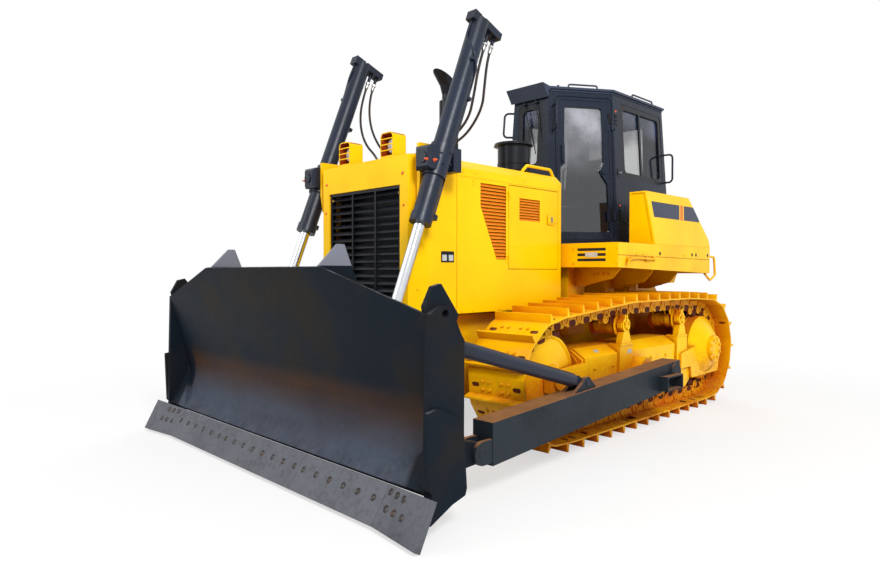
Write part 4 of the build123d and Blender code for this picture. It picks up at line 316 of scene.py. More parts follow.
hood_paint = yellow("hood_paint", YELLOW, DEEP_YELLOW, 0.3, wear=0.25, masks=lambda f: [
    # orange painted shade on the recessed louvre slats
    (louvre(f, 0.59, 0.93, 1.53, 2.17), SLAT_SHADE), (louvre(f, 0.11, 0.42, 1.88, 2.09), SLAT_SHADE),
    # the inside of the guard is painted near black, as shade
    (f.in_box((0, 1.34, 1.597), (1, -0.56, 0.56), (2, 0.84, 2.14)), (14, 15, 18))])   # inside of the guard
# The frame, track and carrier paints take a deep orange painted shade in the undercarriage's hollows, set by
# reach, open_from and full_at.
frame_paint = yellow("frame_paint", FRAME_YELLOW, DEEP_FRAME, 1.0, 0.1, wear=0.3, reach=0.42, open_from=0.8,
    full_at=0.34)
track_paint = yellow("track_paint", (251, 192, 3), (243, 170, 3), 0.85, 0.2, wear=0.4, reach=0.3,
    open_from=0.82, full_at=0.36)
carrier_paint = yellow("carrier_paint", FRAME_YELLOW, DEEP_FRAME, 1.0, 0.1, reach=0.4, open_from=0.8,
    # near-black bands round the carrier rollers at two distances from the middle
    full_at=0.34, masks=lambda f: [(f.beside(1.098, 1.128), ROLLER_BAND), (f.beside(0.872, 0.902), ROLLER_BAND)])
sprocket_paint = yellow("sprocket_paint", (247, 184, 3), (238, 156, 4), 0.6, 0.1, masks=lambda f: [
    (f.radial(drive_x, drive_z, 0.425, 0.6), RUST)])
box_paint = yellow("box_paint", YELLOW, DEEP_YELLOW, 0.25, wear=0.25, masks=lambda f: [
    *[(f.in_box((0, -2.085, -1.055), (2, 1.972, 2.131), (1, *y)), NAVY) for y in both(1.07, 1.3)],
    (slash(f, 0.105), (250, 196, 20)), (slash(f, 0.07), (216, 118, 22))])
lamp_paint = yellow("lamp_paint", YELLOW, DEEP_YELLOW, 0.5, masks=lambda f: [
    (f.in_box((0, 1.494, 1.62), (1, *y), (2, 2.344, 2.523)), (140, 40, 20)) for y in both(0.2085, 0.3475)])
# name, base, deep, worn, roughness, coat, the colour of painted shade and grime and its share, dust and its
# share, wear, grain, shine, even
blade_paint = coated("blade_paint", (19, 27, 36), (34, 31, 28), (100, 104, 110), 0.45, 0.0,
    (20, 19, 19), 0.3, (96, 98, 108), 0.5, 0.3, 0.001, 0.05, radius=0.005, masks=lambda f: [
        # a painted highlight on the blade's top band, then painted reflections lower down: a brown band
        # across the middle and a lighter blue-grey growing towards the bottom
        (f.in_box((2, 1.475, 1.7)), (122, 124, 136)), (painted_reflection_band(f, 0.78, 0.64, 0.35), (96, 62, 38)),
        (painted_reflection_band(f, 0.66, 0.34, 0.9), (62, 71, 85))])
edge_paint = coated("edge_paint", (88, 90, 97), (74, 76, 84), (140, 140, 144), 0.46, 0.0,
    (50, 44, 42), 0.35, (112, 112, 120), 0.4, 0.6, 0.0014, 0.2)
arm_paint = coated("arm_paint", (36, 44, 50), (30, 36, 42), (100, 104, 108), 0.42, 0.0,
    (28, 23, 20), 0.25, (142, 100, 70), 0.95, 0.35, 0.0008, 0.12, 0.72)
gear_paint = coated("gear_paint", (22, 31, 49), (17, 24, 38), (96, 104, 118), 0.36, 0.0,
    (16, 17, 21), 0.3, (84, 90, 102), 0.2, 0.25, 0.0003)
cab_paint = coated("cab_paint", (28, 36, 51), (22, 29, 42), (92, 100, 116), 0.28, 0.05,
    (12, 14, 18), 0.4, (96, 108, 132), 0.65, 0.25, 0.0003, 0.16, 0.8)
roof_paint = coated("roof_paint", (54, 63, 82), (46, 55, 72), (110, 118, 134), 0.34, 0.05,
    (16, 18, 24), 0.4, (96, 108, 132), 0.65, 0.3, 0.0003, 0.14, 0.8)
black_paint = coated("black_paint", (18, 21, 28), (13, 15, 21), (72, 76, 84), 0.3, 0.05,
    (8, 8, 10), 0.4, (70, 74, 82), 0.3, 0.3, 0.0004, 0.2)
# dark orange painted shade for the gaps between chain links and the shoes' mud holes
gap_shade_paint = coated("gap_shade_paint", (96, 36, 10), (70, 28, 10), (150, 70, 26), 0.6, 0.0, (50, 24, 12), shine=0.2)
louvre_shade_paint = coated("louvre_shade_paint", (206, 98, 8), (186, 80, 8), (230, 140, 30), 0.6, 0.0, (120, 50, 10),
    shine=0.1)
orange_paint = coated("orange_paint", (236, 92, 28), (214, 74, 20), (250, 150, 90), 0.3, 0.4, dust_share=0.05)
cast_iron = coated("cast_iron", (62, 63, 62), (48, 48, 47), (110, 108, 104), 0.6, grain=0.004)

# ---- metals, rubber, plastic and glass
chrome = metal("chrome", (226, 229, 232), (196, 200, 206), 0.11, 0.0002, (1, 1, 12), spots=0.04)
steel = metal("steel", (176, 176, 174), (136, 136, 136), 0.33)
dark_steel = metal("dark_steel", (74, 72, 70), (54, 50, 48), 0.4, spot=(110, 62, 34), spots=0.5)
brass = metal("brass", (206, 168, 92), (176, 138, 70), 0.3)
rubber = soft("rubber", (46, 36, 31), (34, 28, 26), 0.62, 240, 0.0012)
seal = soft("seal", (22, 23, 26), (30, 31, 34), 0.55, 300, 0.0008)
vinyl = soft("vinyl", (38, 39, 43), (28, 29, 32), 0.5, 300, 0.0004)
plastic = soft("plastic", (48, 50, 54), (40, 42, 46), 0.45, 260, 0.0003)
label = soft("label", (188, 190, 186), (170, 172, 170), 0.4, 300, 0.0003)
window_glass = glass("window_glass", (26, 38, 50), (34, 56, 104), 2.86, 3.08, 1.0, 0.2)
# the door glass's pale layer towards the top is a painted reflection of the sky
door_glass = glass("door_glass", (16, 24, 34), (178, 180, 192), 2.35, 3.05, 0.85, 0.62)
lamp_glass = glass("lamp_glass", (226, 230, 232), (250, 250, 250), 2.3, 2.5, 0.5, 0.8)
red_glass = glass("red_glass", (150, 14, 10), (190, 40, 30), 1.6, 2.0, 0.4, 0.92)

# by material slot, and by node where a node differs from its slot
SLOT_FINISH = {
    "yellow_paint": frame_paint, "dark_paint": gear_paint, "cab_paint": cab_paint, "black_paint": black_paint,
    "chrome_rod": chrome, "track_steel": track_paint, "tinted_glass": window_glass, "seat_vinyl": plastic,
    "cast_engine": cast_iron, "lamp_glass": lamp_glass, "hose_rubber": rubber, "steel_fittings": steel,
}
OWN_FINISH = {**dict.fromkeys(
    ("hood_top", "hood_sides", "engine_door_left", "engine_door_right", "radiator_guard", "fuel_tank"),
    hood_paint), "fender_boxes": box_paint, "front_lamps": lamp_paint, "carrier_rollers": carrier_paint,
    "cab_roof": roof_paint, "sprockets": sprocket_paint, "blade": blade_paint, "cutting_edges": edge_paint,
    "push_arms": arm_paint, "door_glass_left": door_glass, "door_glass_right": door_glass, }
for row in frame["record"]["subparts"]:
    mesh = nodes[row["node"]].data
    mesh.materials.clear()
    mesh.materials.append(OWN_FINISH.get(row["node"]) or SLOT_FINISH[row["material_slot"]])


# ---- mesh helpers
def crossways(axis):
    """Two directions at right angles to an axis and to each other."""
    axis = Vector(axis).normalized()
    one = axis.cross(UP if abs(axis.z) < 0.9 else AHEAD).normalized()
    return one, axis.cross(one)


def skin(bm, rings, tip=None):
    """Faces over the first ring, between rings of equal length, and over the last or from it to a tip."""
    count = len(rings[0])
    for a, b in zip(rings, rings[1:]):
        for k in range(count):
            bm.faces.new((a[k], a[(k + 1) % count], b[(k + 1) % count], b[k]))
    for k in range(count if tip else 0):
        bm.faces.new((rings[-1][k], rings[-1][(k + 1) % count], tip))
    bm.faces.new(rings[0][::-1])
    if not tip:
        bm.faces.new(rings[-1])


def loft(bm, outlines):
    """A closed skin over outlines of equal length, from the first to the last."""
    skin(bm, [[bm.verts.new(p) for p in outline] for outline in outlines])


def circle(bm, centre, one, two, sides, reach, spin=0.0):
    """A ring of vertices round a centre. reach gives the distance of each from its turn."""
    turns = [2 * math.pi * k / sides + spin for k in range(sides)]
    return [bm.verts.new(centre + (one * math.cos(t) + two * math.sin(t)) * reach(t)) for t in turns]


def lathe(bm, at, axis, profile, sides=16, spin=0.0):
    """A turned form. profile is (radius, distance along the axis) points and may end on the axis."""
    at, axis = Vector(at), Vector(axis).normalized()
    one, two = crossways(axis)
    rings, tip = [], None
    for radius, along in profile:
        if radius == 0:
            tip = bm.verts.new(at + axis * along)
        else:
            rings.append(circle(bm, at + axis * along, one, two, sides, lambda turn: radius, spin))
    skin(bm, rings, tip)


def tube(bm, points, radius, sides=12, swell=None):
    """A round bar that follows points. swell gives its radius from the ring's number and the turn."""
    points = [Vector(p) for p in points]
    rings, one = [], None
    for k, point in enumerate(points):
        along = (points[min(k + 1, len(points) - 1)] - points[max(k - 1, 0)]).normalized()
        one = crossways(along)[0] if one is None else (one - along * one.dot(along)).normalized()
        reach = (lambda turn: swell(k, turn)) if swell else (lambda turn: radius)
        rings.append(circle(bm, point, one, along.cross(one), sides, reach))
    skin(bm, rings)


def slab(bm, corners, normal, thick, inset=0.0015, sunk=0.001):
    """A thin plate on a face: its outline, chamfered round the top and sunk a little at the foot."""
    normal = Vector(normal).normalized()
    corners = [Vector(c) for c in corners]
    middle = sum(corners, Vector()) / len(corners)
    loft(bm, [[c + (middle - c).normalized() * pull + normal * lift for c in corners]
              for lift, pull in ((-sunk, 0), (thick - inset, 0), (thick, inset))])


def rounded_outline(centre, across, up, wide, high, corner, steps=4):
    """Corner points of a rounded rectangle round a centre, wide along across and high along up."""
    centre, across, up = Vector(centre), Vector(across).normalized(), Vector(up).normalized()
    points = []
    for sx, sy, start in ((1, 1, 0), (-1, 1, 90), (-1, -1, 180), (1, -1, 270)):
        for k in range(steps + 1):
            turn = math.radians(start + 90 * k / steps)
            x = sx * (wide / 2 - corner) + corner * math.cos(turn)
            y = sy * (high / 2 - corner) + corner * math.sin(turn)
            points.append(centre + across * x + up * y)
    return points


def plate(bm, centre, across, up, size, normal, thick, *lips, steps=4):
    """A slab with a rounded rectangle for its outline. size is its width, height and corner radius."""
    slab(bm, rounded_outline(centre, across, up, *size, steps), normal, thick, *lips)


def hex_bolt(bm, at, normal, size):
    """A washer and a chamfered hexagon head. size is the head's radius."""
    lathe(bm, at, normal, [
        (size * 1.28, -0.001), (size * 1.28, size * 0.16), (size * 1.16, size * 0.22), (0, size * 0.22)], 14)
    lathe(bm, at, normal, [
        (size * 0.98, size * 0.2), (size * 0.98, size * 0.78), (size * 0.8, size * 0.92), (0, size * 0.94)],
        6, random.random())


def flat_bolt(bm, at, normal, size):
    """A countersunk head in its seat, as on a cutting edge."""
    lathe(bm, at, normal, [
        (size * 1.15, -0.002), (size * 1.15, 0.0012), (size * 1.0, 0.002), (size * 0.92, 0.0002),
        (size * 0.8, 0.0016), (0, 0.0026)], 14)


def dome_bolt(bm, at, normal, size):
    """A round head with a dimple."""
    lathe(bm, at, normal, [
        (size, -0.001), (size, size * 0.2), (size * 0.82, size * 0.5), (size * 0.45, size * 0.68),
        (size * 0.3, size * 0.5), (0, size * 0.48)], 12)


def nipple(bm, at, normal, size):
    """A grease nipple. size is its foot's radius."""
    lathe(bm, at, normal, [
        (size, -0.001), (size, size * 0.7), (size * 0.6, size * 0.9), (size * 0.5, size * 1.7),
        (size * 0.62, size * 2.0), (size * 0.4, size * 2.4), (0, size * 2.4)], 12)


def piece(name, bm, finish, body="root", angle=32):
    """The mesh as an object that rides on a body."""
    bmesh.ops.recalc_face_normals(bm, faces=bm.faces)
    mesh = bpy.data.meshes.new(name)
    bm.to_mesh(mesh)
    bm.free()
    mesh.materials.append(finish)
    mesh.shade_smooth()
    mesh.set_sharp_from_angle(angle=math.radians(angle))
    made = bpy.data.objects.new(name, mesh)
    scene.collection.objects.link(made)
    if body:
        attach(made, body)
    return made


surfaces = {}


def land(node, at, toward, needed=True):
    """Where a line from a point first meets a CAD node, and the outward direction of the face there.
    None if it meets nothing and isn't needed."""
    if node not in surfaces:
        mesh = nodes[node].data
        corners, faces = [v.co for v in mesh.vertices], [p.vertices for p in mesh.polygons]
        surfaces[node] = BVHTree.FromPolygons(corners, faces)
    toward = Vector(toward).normalized()
    spot, normal, _, _ = surfaces[node].ray_cast(Vector(at), toward)
    if spot is not None:
        return spot, (-normal if normal.dot(toward) > 0 else normal)
    if needed:
        raise ValueError(f"nothing of {node} lies ahead of {tuple(at)}")
    return None


def from_side(node, side, x, z):
    """Lands on a node from beside the machine, on the left for side 1 and on the right for side -1."""
    return land(node, (x, side * BESIDE, z), (0, -side, 0))


# ---- hoses of the lift cylinders
HOSE_DIAMETER = 0.022
# place, length, points from the port on the barrel to the block on the guard
HOSES = [
    ("outer", 1.159, [(1.00325, 0.753, 3.24099), (1.0766, 0.753, 3.05492), (1.11, 0.736, 2.832),
                      (1.102, 0.668, 2.64), (1.132, 0.452, 2.484), (1.29, 0.244, 2.398)]),
    ("inner", 1.281, [(0.9308, 0.753, 3.23392), (0.97187, 0.753, 3.12972), (0.994, 0.744, 2.93),
                      (0.976, 0.702, 2.74), (0.992, 0.5, 2.524), (1.122, 0.322, 2.454),
                      (1.29, 0.132, 2.398)]),
]
SPIRAL = 0.0125               # pitch of the wire under the hose's cover
SPIRAL_DEPTH = 0.035          # share of the radius by which the cover rises and falls


def spline_line(points):
    """The smooth line of a route, as the points of its own spline."""
    curve = bpy.data.curves.new("route", "CURVE")
    curve.dimensions = "3D"
    spline = curve.splines.new("NURBS")
    spline.points.add(len(points) - 1)
    for point, at in zip(spline.points, points):
        point.co = (*at, 1)
    spline.order_u = 3
    spline.use_endpoint_u = True
    spline.resolution_u = 64
    holder = bpy.data.objects.new("route", curve)
    scene.collection.objects.link(holder)
    bpy.context.view_layer.update()
    mesh = bpy.data.meshes.new_from_object(holder)
    line = [v.co.copy() for v in mesh.vertices]
    bpy.data.objects.remove(holder)
    return line


def hose_cover(bm, line):
    """The hose with the slight ridges of its wire."""
    run = [0.0]
    for a, b in zip(line, line[1:]):
        run.append(run[-1] + (b - a).length)

    def swell(k, turn):
        wave = math.cos(2 * math.pi * run[k] / SPIRAL - turn)
        return HOSE_DIAMETER / 2 * (1 - SPIRAL_DEPTH + SPIRAL_DEPTH * wave)
    tube(bm, line, HOSE_DIAMETER / 2, 14, swell)


for side, hand in SIDES:
    for place, length, route in HOSES:
        line = spline_line([(x, side * y, z) for x, y, z in route])
        bm = bmesh.new()
        hose_cover(bm, line)
        hose = piece(f"lift_hose_{place}_{hand}", bm, rubber, None, 80)
        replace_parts(hose, "lift_hoses_" + hand)
        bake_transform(hose)
        out = (line[4] - line[0]).normalized()
        bm = bmesh.new()
        lathe(bm, line[0] - out * 0.004, out, [
            (0.0135, 0), (0.0135, 0.012), (0.0165, 0.014), (0.0165, 0.05), (0.0145, 0.055), (0.0135, 0.056),
            (0.0117, 0.06)], 20)
        lathe(bm, line[0] - out * 0.016, out, [(0.021, 0), (0.021, 0.017), (0.018, 0.02), (0.012, 0.02)], 6)
        piece(f"hose_end_{place}_{hand}", bm, steel, "lift_barrel_" + hand)
        back = (line[-4] - line[-1]).normalized()
        bm = bmesh.new()
        lathe(bm, line[-1] - back * 0.004, back, [
            (0.0158, 0), (0.0158, 0.045), (0.0148, 0.05), (0.0117, 0.056)], 20)
        piece(f"hose_root_{place}_{hand}", bm, steel)


# ---- tracks
def shoe_tips(node):
    """Middle of each grouser's tip and the outward direction of its shoe, read from the frame."""
    mesh = nodes[node].data
    found = {}
    for face in mesh.polygons:
        points = [mesh.vertices[i].co for i in face.vertices]
        wide = max(p.y for p in points) - min(p.y for p in points)
        if abs(face.normal.y) > 0.05 or wide < 0.5:
            continue
        ends = sorted({(round(p.x, 4), round(p.z, 4)) for p in points})
        if len(ends) == 2 and 0.0135 < math.dist(*ends) < 0.0175:
            found[tuple(ends)] = face.normal.copy()
    return [(Vector(((a[0] + b[0]) / 2, 0, (a[1] + b[1]) / 2)), normal) for (a, b), normal in found.items()]


SHOE_PITCH = 0.216
GROUSER = 0.065                            # height of a grouser's tip over its shoe
PIN_DEPTH, PIN_BACK = 0.134, 0.036         # a pin's place under and behind the tip
SHOE_BOLTS = [(along, across) for along in (0.062, 0.128) for across in (-0.128, -0.062, 0.062, 0.128)]
HOLE_ALONG, HOLE_ACROSS = 0.098, 0.205     # mud holes
RAILS, RAIL_HALF = (-0.095, 0.095), 0.0222
BUSHING, BUSHING_HALF = 0.036, 0.0725      # its collar's radius and half its length
TEETH = 0.52                               # nearer to the drive's axis, teeth hide the bushings
PIN_END = [
    (0.047, 0), (0.047, 0.006), (0.043, 0.009), (0.03, 0.009), (0.028, 0.004), (0.013, 0.004),
    (0.011, 0.0075), (0, 0.008)]

for side, hand in SIDES:
    low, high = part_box("track_" + hand)
    middle = (low.y + high.y) / 2
    bolts, pins, bushes, gaps, holes = (bmesh.new() for _ in range(5))
    for tip, out in shoe_tips("track_" + hand):
        onward = Vector((-out.z, 0, out.x))
        for along, across in SHOE_BOLTS:
            spot = tip + onward * along - out * GROUSER
            spot.y = middle + across
            hit = land("track_" + hand, spot + out * 0.03, -out, False)
            if hit:
                hex_bolt(bolts, *hit, 0.0125)
        for across in (-HOLE_ACROSS, HOLE_ACROSS):
            spot = tip + onward * HOLE_ALONG - out * (GROUSER - 0.03)
            spot.y = middle + across
            hit = land("track_" + hand, spot, -out, False)
            if hit:
                plate(holes, hit[0], LEFT, onward, (0.074, 0.034, 0.0165), hit[1], 0.0012, 0.0004)
        pin = tip - onward * PIN_BACK - out * PIN_DEPTH
        for rail in RAILS:
            for face in (-1, 1):
                at = Vector((pin.x, middle + rail + face * RAIL_HALF, pin.z))
                lathe(pins, at, (0, face, 0), PIN_END, 16)
                gap = at + onward * (SHOE_PITCH / 2) - out * 0.034
                plate(gaps, gap, onward, out, (0.098, 0.052, 0.022), (0, face, 0), 0.0024)
        if math.hypot(pin.x - drive_x, pin.z - drive_z) > TEETH:
            lathe(bushes, (pin.x, middle - BUSHING_HALF, pin.z), LEFT,
                  [(BUSHING, 0), (BUSHING, 0.008), (0.0325, 0.011), (0.0325, 0.134), (BUSHING, 0.137),
                   (BUSHING, 2 * BUSHING_HALF)], 16)
    piece("shoe_bolts_" + hand, bolts, track_paint)
    piece("chain_pins_" + hand, pins, track_paint)
    piece("chain_bushings_" + hand, bushes, dark_steel)
    # dark plates of painted shade in the chain's gaps and the shoes' mud holes
    piece("chain_gaps_" + hand, gaps, gap_shade_paint)
    piece("shoe_holes_" + hand, holes, gap_shade_paint)


# ---- fasteners
STYLES = {"hex": hex_bolt, "flat": flat_bolt, "dome": dome_bolt, "nipple": nipple}


def studs(name, finish, rows, body="root"):
    """Fasteners set on CAD faces and mirrored. A row is node, style, size, line's start, line's direction and
    the offsets from that start."""
    bm = bmesh.new()
    for node, style, size, (x, y, z), toward, offsets in rows:
        for side, hand in SIDES:
            for dx, dy, dz in offsets:
                start = (x + dx, side * (y + dy), z + dz)
                way = (toward[0], side * toward[1], toward[2])
                STYLES[style](bm, *land(node.replace("left", hand), start, way), size)
    return piece(name, bm, finish, body)


def along_x(*xs):
    return [(x, 0, 0) for x in xs]


def along_y(*ys):
    return [(0, y, 0) for y in ys]


def along_z(*zs):
    return [(0, 0, z) for z in zs]


def circle_of(count, radius, start):
    """Places round a line along Y, from a start in degrees."""
    turns = [math.radians(start) + 2 * math.pi * k / count for k in range(count)]
    return [(radius * math.cos(turn), 0, radius * math.sin(turn)) for turn in turns]


ONE = along_x(0)
STEPS_Y = along_y(0, 0.045, 0.105, 0.15)
studs("edge_bolts", dark_steel, [
    ("cutting_edges", "flat", 0.0185, (3.1, 0, 0.15), BACK, along_y(0.07, 0.21, 0.35, 0.49)),
    ("cutting_edges", "flat", 0.0185, (3.1, 0, 0.15), BACK,
     along_y(0.6, 0.745, 0.89, 1.035, 1.18, 1.325)),
    ("cutting_edges", "flat", 0.0185, (3.1, 0, 0.205), BACK, along_y(1.445, 1.515, 1.585)),
    ("cutting_edges", "flat", 0.0185, (3.1, 0, 0.128), BACK, along_y(1.465, 1.545, 1.625)),
], "blade_group")
studs("hood_bolts", hood_paint, [
    ("hood_sides", "dome", 0.011, (0, 2, 1.118), RIGHT, along_x(1.145, 1.014, 0.688, 0.581, 0.1, -0.12)),
    ("hood_sides", "dome", 0.0085, (1.018, 2, 2.171), RIGHT, along_z(0, -0.034)),
    ("hood_top", "dome", 0.0085, (0, 2, 2.235), RIGHT, along_x(1.13, 0.985, 0.35, -0.17)),
    ("hood_top", "dome", 0.0085, (0, 0.53, 3.2), DOWN, along_x(1.15, 0.86, 0.32, -0.18)),
    ("radiator_guard", "dome", 0.0105, (1.585, 2, 0), RIGHT, along_z(0.95, 1.3, 1.65)),
])
studs("guard_bolts", orange_paint, [
    ("radiator_guard", "dome", 0.013, (3.5, 0.5, 2.185), BACK, ONE),
    ("radiator_guard", "dome", 0.01, (3.5, 0.512, 1.1), BACK, along_z(0, 0.42, 0.84)),
])
studs("grille_bolts", brass, [
    ("grille", "hex", 0.011, (3.5, 0.435, 0), BACK, along_z(0.93, 1.47, 2.045)),
])
studs("frame_bolts", frame_paint, [
    ("track_frame_left", "hex", 0.017, (0, 1.384, 0.345), RIGHT,
     along_x(0.12, -0.12, -0.36, -0.6, -0.84, -1.08, -1.32, -1.5)),
    ("track_frame_left", "hex", 0.015, (0, 1.384, 0.6), RIGHT, along_x(0.05, -0.25, -0.95, -1.25)),
    ("final_drives", "hex", 0.016, (drive_x, 2, drive_z), RIGHT, circle_of(8, 0.106, 22)),
    ("sprockets", "hex", 0.016, (drive_x, 2, drive_z), RIGHT, circle_of(18, 0.392, 5)),
    ("idlers", "hex", 0.014, (0.658, 2, 0.571), RIGHT, circle_of(6, 0.075, 10)),
    ("carrier_rollers", "hex", 0.012, (-0.45, 2, 0.946), RIGHT, circle_of(3, 0.03, 30)),
    ("carrier_rollers", "hex", 0.012, (-1.58, 2, 0.946), RIGHT, circle_of(3, 0.03, 30)),
    ("platform", "dome", 0.012, (3, 0.86, 1.413), BACK, STEPS_Y),
    ("platform", "dome", 0.012, (3, 0.76, 1.3), BACK, STEPS_Y),
    ("platform", "dome", 0.01, (3, 0.766, 1.647), BACK,
     [(0, 0, 0), (0, 0, -0.136), (0, 0.42, 0), (0, 0.42, -0.136)]),
    ("platform", "dome", 0.01, (-0.62, 3, 1.6), RIGHT, along_x(0, -0.12, -1.0)),
])
studs("skirt_plugs", black_paint, [
    ("platform", "flat", 0.016, (0, 3, 1.612), RIGHT, along_x(-1.083, -1.799, -1.895, -2.19)),
])

# yokes of the lift cylinders
YOKE_X, YOKE_Z, YOKE_CIRCLE = 1.515, 2.27, 0.058
for side, hand in SIDES:
    barrel = "lift_barrel_" + hand
    bm = bmesh.new()
    for angle in range(45, 360, 90):
        turn = math.radians(angle)
        x, z = YOKE_X + YOKE_CIRCLE * math.cos(turn), YOKE_Z + YOKE_CIRCLE * math.sin(turn)
        hex_bolt(bm, *from_side(barrel, side, x, z), 0.0105)
    piece("yoke_bolts_" + hand, bm, gear_paint, barrel)
    bm = bmesh.new()
    nipple(bm, *from_side(barrel, side, 1.634, 2.244), 0.013)
    nipple(bm, *land(barrel, (3, side * 0.8, 2.25), BACK), 0.011)
    piece("grease_nipples_" + hand, bm, orange_paint, barrel)


# ---- trim on the guard, doors and platform
VENT_TOP = 1.672              # height at which the platform's front face is read
VENT_SLOTS = (1.543, 1.591, 1.639)


def notice_plate(side, hand, out):
    """A blank notice on the guard's side: a dark plate with two pale fields."""
    spot, _ = from_side("radiator_guard", side, 1.309, 1.5515)
    bm = bmesh.new()
    plate(bm, spot, AHEAD, UP, (0.144, 0.087, 0.008), out, 0.003)
    piece("notice_plate_" + hand, bm, black_paint)
    bm = bmesh.new()
    for shift in (-0.036, 0.036):
        plate(bm, spot + AHEAD * shift - UP * 0.008, AHEAD, UP, (0.05, 0.048, 0.004), out, 0.0042)
    piece("notice_blanks_" + hand, bm, label)


def latch(side, hand, out):
    """The engine door's latch: a raised frame, its dish, and a paddle with a lock."""
    door = "engine_door_" + hand
    spot, _ = from_side(door, side, -0.046, 1.915)
    bm = bmesh.new()
    plate(bm, spot, AHEAD, UP, (0.108, 0.092, 0.012), out, 0.0045, 0.002)
    plate(bm, spot, AHEAD, UP, (0.088, 0.072, 0.01), out, 0.0065, 0.002)
    piece("latch_frame_" + hand, bm, hood_paint, door)
    bm = bmesh.new()
    plate(bm, spot + out * 0.006, AHEAD, UP, (0.074, 0.058, 0.009), out, 0.0012, 0.0005)
    piece("latch_dish_" + hand, bm, frame_paint, door)
    bm = bmesh.new()
    plate(bm, spot + out * 0.007, AHEAD, UP, (0.022, 0.05, 0.007), out, 0.0055, 0.0015)
    lathe(bm, spot + out * 0.011 - UP * 0.01, out, [
        (0.009, 0), (0.009, 0.0032), (0.0075, 0.0042), (0.004, 0.0042), (0.0035, 0.002), (0, 0.002)], 16)
    piece("latch_paddle_" + hand, bm, steel, door)


def vent(side, hand):
    """Three slots, with dark plates of painted shade sunk in them, and a blank label on the platform's
    slanted front.
    """
    (inner, face), (outer, _) = [land("platform", (2, side * y, VENT_TOP), BACK) for y in (0.8, 1.08)]
    across = (outer - inner).normalized()
    middle = (inner + outer) / 2
    bm = bmesh.new()
    for z in VENT_SLOTS:
        spot = middle + UP * (z - VENT_TOP) - face * 0.007
        plate(bm, spot, across, UP, (0.285, 0.0275, 0.002), face, 0.004)
    piece("vent_slots_" + hand, bm, seal)
    bm = bmesh.new()
    plate(bm, middle - UP * 0.081, across, UP, (0.124, 0.044, 0.006), face, 0.0022)
    piece("vent_blank_" + hand, bm, label)


for side, hand in SIDES:
    notice_plate(side, hand, LEFT * side)
    latch(side, hand, LEFT * side)
    vent(side, hand)


# ---- louvre backs in painted shade, frame blanks, cab doors
LOUVRE_Y = 0.606              # where the louvres' backs stand
HINGES = (3.03, 2.03)         # heights of the cab doors' hinges
HINGE_SIZE, HINGE_BOLTS = (0.135, 0.006), (-0.044, 0, 0.044)
POST_X = -1.232               # middle of the post behind a cab door


# a sheet in orange painted shade behind each louvre
def louvre_back(name, body, side, x_low, x_high, z_low, z_high):
    bm = bmesh.new()
    plate(bm, ((x_low + x_high) / 2, side * LOUVRE_Y, (z_low + z_high) / 2), AHEAD, UP,
          (x_high - x_low, z_high - z_low, 0.01), LEFT * side, 0.004)
    piece(name, bm, louvre_shade_paint, body)


def frame_blanks(side, hand):
    """Two blank labels on the track frame. A row is place, direction of the line to it, and width."""
    bm = bmesh.new()
    for (x, y, z), (dx, dy, dz), wide in (((-0.056, 1.125, 0.737), (0, -0.54, -0.84), 0.062),
                                          ((-0.504, 1.199, 0.705), (0, -1, 0), 0.07)):
        toward = Vector((dx, side * dy, dz)).normalized()
        spot, normal = land("track_frame_" + hand, Vector((x, side * y, z)) - toward * 0.1, toward)
        plate(bm, spot, AHEAD, AHEAD.cross(normal), (wide, 0.036, 0.004), normal, 0.001, 0.0004)
    piece("frame_blanks_" + hand, bm, label)


def hinge_half(plates, bolts, spot, normal, across, wide):
    """A hinge's plate with its three bolts."""
    plate(plates, spot, across, UP, (wide, *HINGE_SIZE), normal, 0.004)
    for dz in HINGE_BOLTS:
        dome_bolt(bolts, spot + UP * dz + normal * 0.004, normal, 0.0095)


def door_hinges(side, hand):
    """The halves of the hinges that ride on the cab door, on its slanted face."""
    door = "cab_door_" + hand
    inward = Vector((-0.54, -side * 0.84, 0)).normalized()
    plates, bolts = bmesh.new(), bmesh.new()
    for z in HINGES:
        spot, normal = land(door, Vector((-1.122, side * 0.635, z)) - inward * 0.3, inward)
        hinge_half(plates, bolts, spot, normal, UP.cross(normal).normalized(), 0.046)
    piece("hinge_plates_" + hand, plates, black_paint, door)
    piece("hinge_bolts_" + hand, bolts, black_paint, door)


def door_post(side, hand):
    """The post's halves of the hinges, a reflector over each, and the striker that holds the open door."""
    plates, bolts, dots = bmesh.new(), bmesh.new(), bmesh.new()
    for z in HINGES:
        spot, normal = from_side("cab_shell", side, POST_X, z)
        hinge_half(plates, bolts, spot, normal, AHEAD, 0.042)
        spot, normal = from_side("cab_shell", side, POST_X, z + 0.098)
        lathe(dots, spot, normal, [(0.012, -0.001), (0.012, 0.003), (0.009, 0.006), (0, 0.007)], 16)
    spot, normal = from_side("cab_shell", side, -1.24, 2.475)
    plate(plates, spot, AHEAD, UP, (0.052, 0.086, 0.008), normal, 0.005)
    piece("post_plates_" + hand, plates, black_paint)
    piece("post_bolts_" + hand, bolts, black_paint)
    piece("reflector_dots_" + hand, dots, orange_paint)
    bm = bmesh.new()
    lathe(bm, spot + normal * 0.004, normal, [
        (0.012, 0), (0.012, 0.003), (0.007, 0.005), (0.007, 0.018), (0.011, 0.02), (0.011, 0.024),
        (0.009, 0.026), (0, 0.026)], 20)
    piece("door_striker_" + hand, bm, steel)


for side, hand in SIDES:
    louvre_back("louvre_back_" + hand, "root", side, 0.535, 0.94, 1.525, 2.175)
    louvre_back("vent_back_" + hand, "engine_door_" + hand, side, 0.105, 0.425, 1.872, 2.098)
    frame_blanks(side, hand)
    door_hinges(side, hand)
    door_post(side, hand)


# ---- hood's rear end, wipers, steps
BULKHEAD_X, BULKHEAD_HALF, BULKHEAD_FOOT, HOOD_CORNER = -0.196, 0.612, 1.72, 2.19


